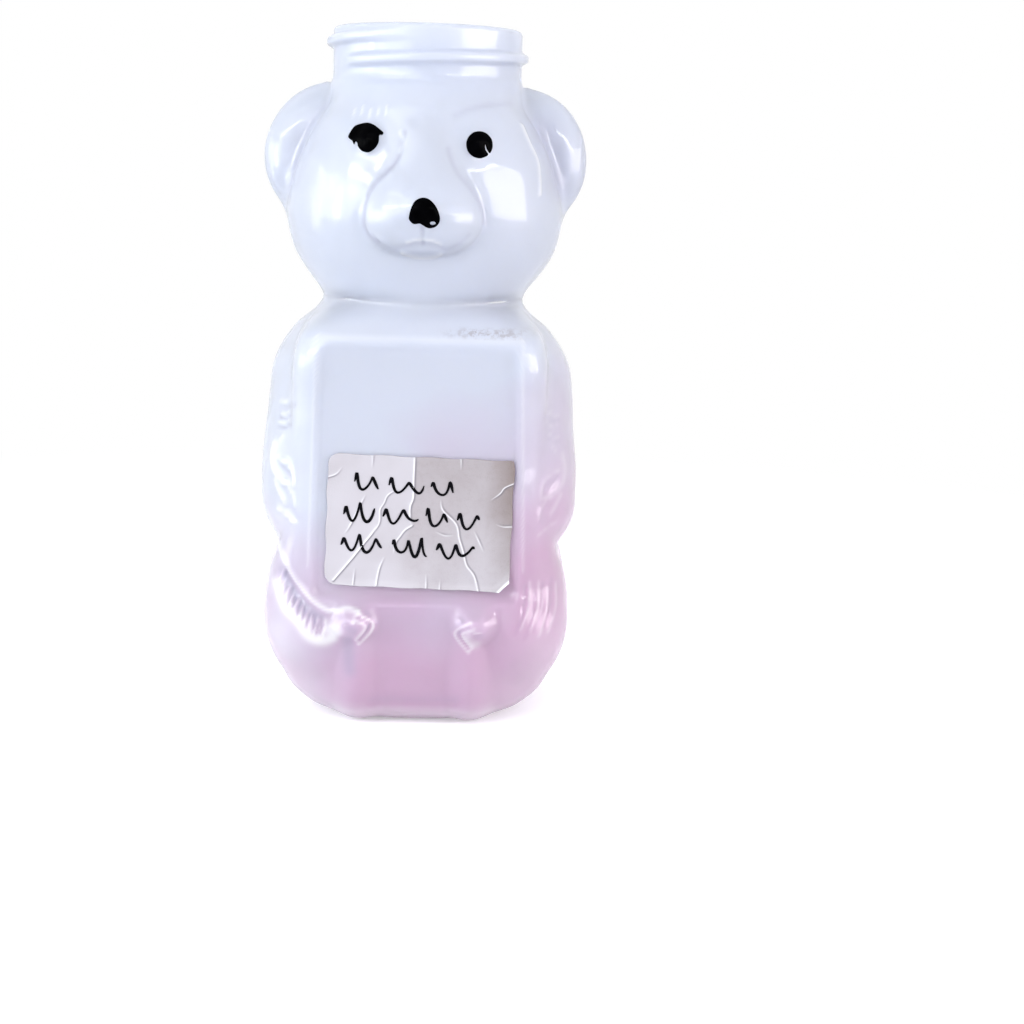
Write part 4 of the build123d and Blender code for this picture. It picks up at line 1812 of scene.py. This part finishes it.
class SharedEffect(Enum):
    """Effects that more than one finish uses, by the name of their node group."""

    GRAIN = "surface_grain"
    CLOUDS = "cloud_mask"

    def group(self) -> bpy.types.NodeTree:
        """The effect's node group, made the first time that it is asked for.

        Returns:
            The node group.
        """
        found = bpy.data.node_groups.get(self.value)
        if found:
            return found
        tree = bpy.data.node_groups.new(self.value, "ShaderNodeTree")
        for name, value in (("Scale", 1000.0), ("Share", 0.5)):
            asked = tree.interface.new_socket(name, in_out="INPUT", socket_type="NodeSocketFloat")
            asked.default_value = value
        is_grain = self is SharedEffect.GRAIN
        result = "Height" if is_grain else "Mask"
        tree.interface.new_socket(result, in_out="OUTPUT", socket_type="NodeSocketFloat")
        wiring = Wiring(tree)
        given = wiring.add("NodeGroupInput").outputs
        value = (self.grain if is_grain else self.clouds)(wiring, given["Scale"], given["Share"])
        wiring.add("NodeGroupOutput", {result: value})
        return tree

    def grain(self, wiring: Wiring, scale: Socket, share: Socket) -> Socket:
        """A coarse grain with a share of grain six times finer.

        Args:
            wiring: Wiring of the node group.
            scale: Scale of the coarse grain.
            share: Share of the fine grain.

        Returns:
            Height of the grain.
        """
        place = wiring.place()
        coarse = wiring.noise(place, scale, 3.0)
        fine = wiring.noise(place, wiring.product(scale, 6.0), 2.0)
        return wiring.add("ShaderNodeMix", {0: share, 2: coarse, 3: fine}).outputs[0]

    def clouds(self, wiring: Wiring, scale: Socket, share: Socket) -> Socket:
        """Soft patches.

        Args:
            wiring: Wiring of the node group.
            scale: Scale of the patches.
            share: How much of the surface they cover.

        Returns:
            Mask of the patches.
        """
        shifted = wiring.sum(wiring.noise(wiring.place(), scale, 2.0), share)
        soft = wiring.spread(shifted, (0.7, 1.3))
        soft.node.interpolation_type = "SMOOTHERSTEP"
        return soft

    def use(self, wiring: Wiring, scale: float, share: float) -> Socket:
        """Adds the effect to a material and gives its output."""
        sockets = {"Scale": scale, "Share": share}
        return wiring.add("ShaderNodeGroup", sockets, node_tree=self.group()).outputs[0]


def new_material(name: str) -> tuple[bpy.types.Material, Wiring]:
    """Makes an empty node material.

    Args:
        name: Name of the material.

    Returns:
        The material and the wiring that fills it.
    """
    material = bpy.data.materials.new(name)
    material.use_nodes = True
    material.node_tree.nodes.clear()
    return material, Wiring(material.node_tree)


@dataclass(frozen=True)
class Finish:
    """What the finishes share: patches that vary the gloss, and a grain in the surface."""

    name: str
    # Scale and share of the patches and of the grain
    patches: Pair
    roughness: Pair
    grain: Pair | None = None
    bump: Pair = (0.0, 0.0)

    def sockets(self, wiring: Wiring, patches: Socket, grain: Socket | None) -> Sockets:
        """What the finish sets on its shader beside its roughness and grain."""
        return {}

    def material(self) -> bpy.types.Material:
        """Makes the material.

        Returns:
            The material.
        """
        material, wiring = new_material(self.name)
        patches = SharedEffect.CLOUDS.use(wiring, *self.patches)
        sockets, grain = {"Roughness": wiring.spread(patches, UNIT, self.roughness)}, None
        if self.grain:
            grain = SharedEffect.GRAIN.use(wiring, *self.grain)
            sockets["Normal"] = wiring.bump(*self.bump, grain)
        wiring.shade(sockets | self.sockets(wiring, patches, grain))
        return material


@dataclass(frozen=True)
class MilkyPlastic(Finish):
    """Natural milky polyethylene: pale, slightly clear, with a soft uneven gloss, a painted pink
    bounce light towards the bottom and the right side, and painted highlights and shade along its
    moulded lines.
    """

    name: str = "milky_polyethylene"
    patches: Pair = (140.0, 0.5)
    roughness: Pair = (0.42, 0.56)
    grain: Pair = (420.0, 0.25)
    bump: Pair = (0.08, 0.0004)
    upper_tint: Colour = (0.665, 0.70, 0.80, 1.0)
    painted_pink_bounce_tint: Colour = (0.585, 0.395, 0.54, 1.0)
    painted_highlight_tint: Colour = (1.0, 1.0, 1.0, 1.0)
    painted_shade_tint: Colour = (0.36, 0.33, 0.46, 1.0)
    # Heights over which the painted pink bounce light at the bottom gives way to the plastic's
    # tint, and how far clouds and the painted bounce on the right side shift it
    bounce_fade_heights: Pair = (0.012, 0.056)
    clouds: Pair = (45.0, 0.45)
    cloud_swing: float = 0.2
    bounce_side_reach: float = 0.026
    bounce_side_swing: float = 0.34
    scuff_tint: Colour = (0.42, 0.40, 0.43, 1.0)
    scuff_across: Pair = (0.0060, 0.0185)
    scuff_up: Pair = (0.0722, 0.0738)
    scuff_front: Pair = (-0.012, -0.010)
    scuff_grain: Pair = (900.0, 0.4)
    scuff_levels: Pair = (0.47, 0.56)
    scuff_strength: float = 0.85
    scatter: float = 0.75
    scatter_radius: Triple = (1.0, 1.0, 1.0)
    scatter_scale: float = 0.003
    clearness: float = 0.5
    bending: float = 1.51
    gloss: float = 0.55
    gloss_roughness: float = 0.08
    ripple_scale: float = 110.0
    ripple_depth: float = 0.0007

    def sockets(self, wiring: Wiring, patches: Socket, grain: Socket | None) -> Sockets:
        """The tint with its painted pink bounce light, painted highlights and painted shade, the
        scatter, the clearness and the rippled gloss.

        Args:
            wiring: Wiring of the material.
            patches: Mask that varies over the surface; not used here.
            grain: Height of the grain; not used here.

        Returns:
            Values and wires for the shader.
        """
        place = wiring.place()
        split = wiring.add("ShaderNodeSeparateXYZ", {0: place}).outputs
        # Painted pink bounce light: mauve at the bottom, fading upwards, and reaching higher on the
        # right side
        bottom, top = self.bounce_fade_heights
        rise = wiring.spread(split["Z"], (bottom, 2 * top - bottom), (0.0, 2.0))
        reach, swing = self.bounce_side_reach, self.bounce_side_swing
        rise = wiring.sum(rise, wiring.spread(split["X"], (-reach, reach), (swing, -swing)))
        clouds = SharedEffect.CLOUDS.use(wiring, *self.clouds)
        clouds = wiring.spread(clouds, UNIT, (-self.cloud_swing, self.cloud_swing))
        tint = wiring.blend(wiring.sum(rise, clouds, True), self.painted_pink_bounce_tint, self.upper_tint)
        tint = wiring.blend(self.scuffs(wiring, split), tint, self.scuff_tint)
        ripple = wiring.noise(place, self.ripple_scale, 1.0)
        return {
            # Painted highlights and painted shade along the moulded lines
            "Base Color": wiring.toned("moulded_tone", tint, self.painted_shade_tint, self.painted_highlight_tint),
            "Coat Normal": wiring.bump(1.0, self.ripple_depth, ripple),
            "Coat Weight": self.gloss,
            "Coat Roughness": self.gloss_roughness,
            "Subsurface Weight": self.scatter,
            "Subsurface Radius": self.scatter_radius,
            "Subsurface Scale": self.scatter_scale,
            "Transmission Weight": self.clearness,
            "IOR": self.bending,
        }

    def scuffs(self, wiring: Wiring, split: bpy.types.bpy_prop_collection) -> Socket:
        """Fine grey specks rubbed into the front just above the panel, on the right.

        Args:
            wiring: Wiring of the material.
            split: Place on the object, by axis.

        Returns:
            Mask of the specks.
        """
        share = SharedEffect.GRAIN.use(wiring, *self.scuff_grain)
        share = wiring.spread(share, self.scuff_levels, (0.0, self.scuff_strength))
        for axis, (low, high) in (("X", self.scuff_across), ("Z", self.scuff_up)):
            edge = (high - low) / 4
            begun = wiring.spread(split[axis], (low - edge, low + edge))
            left = wiring.spread(split[axis], (high - edge, high + edge), (1.0, 0.0))
            share = wiring.product(wiring.product(share, begun), left)
        return wiring.product(share, wiring.spread(split["Y"], self.scuff_front, (1.0, 0.0)))


@dataclass(frozen=True)
class BlackPaint(Finish):
    """Black paint or ink, a little thinner in places."""

    tint: Colour = (0.0004, 0.0004, 0.0006, 1.0)
    thin_tint: Colour = (0.001, 0.001, 0.0014, 1.0)
    shine: float = 0.006

    def sockets(self, wiring: Wiring, patches: Socket, grain: Socket | None) -> Sockets:
        """The tint and how much light it throws back."""
        tint = wiring.blend(patches, self.tint, self.thin_tint)
        return {"Base Color": tint, "Specular IOR Level": self.shine}


GLOSS_PAINT = BlackPaint(
    "black_gloss_paint", (500.0, 0.45), (0.1, 0.22), (380.0, 0.2), (0.1, 0.0002)
)
PEN_INK = BlackPaint(
    "pen_ink", (700.0, 0.5), (0.5, 0.7), thin_tint=(0.003, 0.003, 0.005, 1.0), shine=0.03
)


@dataclass(frozen=True)
class MattPaper(Finish):
    """Matt white paper with fibres, greyed to the right of its long fold, its folds lighter with
    wear and a painted highlight, with painted shade in the dent beside each.
    """

    name: str = "matt_label_paper"
    patches: Pair = (120.0, 0.42)
    roughness: Pair = (0.5, 0.75)
    grain: Pair = (900.0, 0.5)
    bump: Pair = (0.25, 0.0002)
    tint: Colour = (0.405, 0.385, 0.415, 1.0)
    handled_tint: Colour = (0.155, 0.118, 0.108, 1.0)
    fold_wear_and_highlight_tint: Colour = (0.78, 0.78, 0.82, 1.0)
    painted_dent_shade_tint: Colour = (0.12, 0.115, 0.135, 1.0)
    handled_share: float = 0.38
    # Where the grey grows towards the right edge, and where it fades towards the bottom
    edge: Pair = (0.0085, 0.0185)
    shade: Pair = (0.027, 0.045)
    shade_least: float = 0.35
    speck_levels: Pair = (0.48, 0.66)
    speck_strength: float = 0.22
    stain_strength: float = 0.15

    def sockets(self, wiring: Wiring, patches: Socket, grain: Socket | None) -> Sockets:
        """The tint of the paper, its handled part, and the wear, painted highlight and painted
        shade of its folds.

        Args:
            wiring: Wiring of the material.
            patches: Mask that varies over the surface.
            grain: Height of the grain.

        Returns:
            Values and wires for the shader.
        """
        split = wiring.add("ShaderNodeSeparateXYZ", {0: wiring.place()}).outputs
        side = wiring.spread(wiring.mark("handled_side"), UNIT, (0.0, self.handled_share))
        worn = wiring.larger(side, wiring.spread(split["X"], self.edge))
        worn = wiring.product(worn, wiring.spread(split["Z"], self.shade, (self.shade_least, 1.0)))
        specks = wiring.spread(grain, self.speck_levels, (0.0, self.speck_strength))
        worn = wiring.sum(worn, wiring.product(specks, side))
        worn = wiring.sum(worn, wiring.spread(patches, UNIT, (0.0, self.stain_strength)))
        paper = wiring.blend(worn, self.tint, self.handled_tint)
        # Folds: worn paper with a painted highlight, and painted shade in the dents
        return {"Base Color": wiring.toned("fold_tone", paper, self.painted_dent_shade_tint, self.fold_wear_and_highlight_tint)}


# Studio

@dataclass(frozen=True)
class SoftLamp:
    """A rectangular lamp that points at the bottle."""

    name: str
    place: Triple
    size: Pair
    power: float
    aim: Triple = (0.0, 0.0, 0.07)
    tint: Triple = (1.0, 1.0, 1.0)

    def build(self) -> None:
        """Adds the lamp to the scene."""
        data = bpy.data.lights.new(self.name, "AREA")
        data.shape, data.energy, data.color = "RECTANGLE", self.power, self.tint
        data.size, data.size_y = self.size
        lamp = bpy.data.objects.new(self.name, data)
        heading = (Vector(self.aim) - Vector(self.place)).to_track_quat("-Z", "Y")
        lamp.matrix_world = Matrix.LocRotScale(Vector(self.place), heading, None)
        bpy.context.scene.collection.objects.link(lamp)


def backdrop_rays(wiring: Wiring) -> Socket:
    """Tells which rays see the white backdrop.

    Args:
        wiring: Wiring of the floor's or the world's nodes.

    Returns:
        One where a ray comes from the camera, a mirror or clear glass, zero elsewhere.
    """
    rays = wiring.add("ShaderNodeLightPath").outputs
    seen = wiring.larger(rays["Is Camera Ray"], rays["Is Glossy Ray"])
    return wiring.larger(seen, rays["Is Transmission Ray"])


@dataclass(frozen=True)
class Studio:
    """The floor, the world, the lamps and the camera."""

    camera_place: Triple = (0.008, -0.35, 0.10191)
    # Yaw, pitch and roll in degrees
    camera_turns: Triple = (1.62647, -10.56523, 1.62017)
    lens: float = 64.46
    sensor: float = 36.0
    clip_start: float = 0.01
    floor_half_size: float = 1500.0
    floor_tint: Colour = (0.78, 0.78, 0.8, 1.0)
    floor_roughness: float = 0.9
    floor_shine: float = 0.34
    # How far from the bottle the floor's shadow starts to fade and is gone
    floor_fade: Pair = (0.1, 0.32)
    ambient: Colour = (0.93, 0.955, 1.0, 1.0)
    ambient_strength: float = 1.05
    white: Colour = (1.0, 1.0, 1.0, 1.0)
    black: Colour = (0.0, 0.0, 0.0, 1.0)
    lamps: tuple[SoftLamp, ...] = (
        SoftLamp("key", (-0.4, -0.55, 0.38), (0.6, 0.6), 3.15, tint=(0.93, 0.965, 1.0)),
        SoftLamp("top", (0.0, -0.05, 0.6), (0.6, 0.3), 0.25),
        SoftLamp(
            "fill", (0.58, -0.25, 0.14), (0.5, 0.26), 2.8, (0.0, 0.0, 0.01), (1.0, 0.955, 0.965)
        ),
        SoftLamp(
            "left_wall", (-0.58, -0.2, 0.12), (0.5, 0.22), 1.7, (0.0, 0.0, 0.0), (0.84, 0.92, 1.0)
        ),
        SoftLamp("left_strip", (-0.28, -0.3, 0.215), (0.24, 0.02), 0.28, (0.0, 0.0, 0.1)),
        SoftLamp("right_strip", (0.28, -0.3, 0.215), (0.24, 0.02), 0.28, (0.0, 0.0, 0.1)),
        SoftLamp("window_near", (-0.42, -0.17, 0.11), (0.06, 0.12), 0.2),
        SoftLamp("window_far", (-0.42, 0.05, 0.11), (0.1, 0.2), 0.2),
    )

    def build(self) -> None:
        """Adds everything round the bottle."""
        self.build_floor()
        self.build_world()
        self.build_camera()
        for lamp in self.lamps:
            lamp.build()
        bpy.context.scene.view_settings.view_transform = "Standard"

    def build_floor(self) -> None:
        """Lays the pale floor, which stays white and keeps the bottle's shadow."""
        corners = np.array(((-1, -1, 0), (1, -1, 0), (1, 1, 0), (-1, 1, 0))) * self.floor_half_size
        floor = mesh_object("floor", corners, [(0, 1, 2, 3)], False)
        material, wiring = new_material("pale_floor")
        away = wiring.add("ShaderNodeVectorMath", {0: wiring.place()}, operation="LENGTH")
        fade = wiring.spread(away.outputs["Value"], self.floor_fade)
        fade.node.interpolation_type = "SMOOTHSTEP"
        shine = wiring.spread(fade, UNIT, (self.floor_shine, 1.0))
        wiring.shade({
            "Base Color": wiring.blend(fade, self.floor_tint, self.black),
            "Roughness": self.floor_roughness,
            "Specular IOR Level": 0.0,
            "Emission Color": self.white,
            "Emission Strength": wiring.product(backdrop_rays(wiring), shine),
        })
        floor.data.materials.append(material)

    def build_world(self) -> None:
        """Makes a white background that lights the bottle only with a soft ambient."""
        world = bpy.data.worlds.new("studio_world")
        world.use_nodes = True
        world.node_tree.nodes.clear()
        wiring = Wiring(world.node_tree)
        ambient = {"Color": self.ambient, "Strength": self.ambient_strength}
        soft = wiring.add("ShaderNodeBackground", ambient)
        white = wiring.add("ShaderNodeBackground", {"Color": self.white, "Strength": 1.0})
        sockets = {0: backdrop_rays(wiring), 1: soft.outputs[0], 2: white.outputs[0]}
        mixed = wiring.add("ShaderNodeMixShader", sockets)
        wiring.add("ShaderNodeOutputWorld", {"Surface": mixed.outputs[0]})
        bpy.context.scene.world = world

    def build_camera(self) -> None:
        """Places the camera where the photograph was taken from."""
        yaw, pitch, roll = map(math.radians, self.camera_turns)
        level = math.cos(pitch)
        ahead = Vector((math.sin(yaw) * level, math.cos(yaw) * level, math.sin(pitch)))
        right = ahead.cross(Vector(UP)).normalized()
        up = right.cross(ahead)
        cos, sin = math.cos(roll), math.sin(roll)
        right, up = cos * right + sin * up, cos * up - sin * right
        data = bpy.data.cameras.new("camera")
        data.lens, data.sensor_width, data.clip_start = self.lens, self.sensor, self.clip_start
        camera = bpy.data.objects.new("camera", data)
        turn = Matrix((right, up, -ahead)).transposed().to_4x4()
        camera.matrix_world = Matrix.Translation(Vector(self.camera_place)) @ turn
        bpy.context.scene.collection.objects.link(camera)
        bpy.context.scene.camera = camera


# The whole bottle

def add_piece(
    piece: bpy.types.Object, node: str | None, material: bpy.types.Material
) -> None:
    """Dresses a piece and ties it to the frame.

    Args:
        piece: The piece.
        node: The frame's node that it stands for, if there is one.
        material: Its material.
    """
    piece.data.materials.append(material)
    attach(piece, BODY)
    if node:
        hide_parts(node)
    log.info("%s: %d faces", piece.name, len(piece.data.polygons))


def main() -> None:
    """Builds the bottle piece by piece, then the studio round it."""
    logging.basicConfig(level=logging.INFO, format="%(name)s: %(message)s")
    shell = BottleShell()
    add_piece(shell.build(), "bottle", MilkyPlastic().material())
    paint = GLOSS_PAINT.material()
    for piece, node in PaintedFace().build(shell):
        add_piece(piece, node, paint)
    label = PaperLabel()
    add_piece(label.build(), "paper_label", MattPaper().material())
    add_piece(PenMarks(label).build(), None, PEN_INK.material())
    Studio().build()
    bpy.context.view_layer.update()


if __name__ == "__main__":
    main()
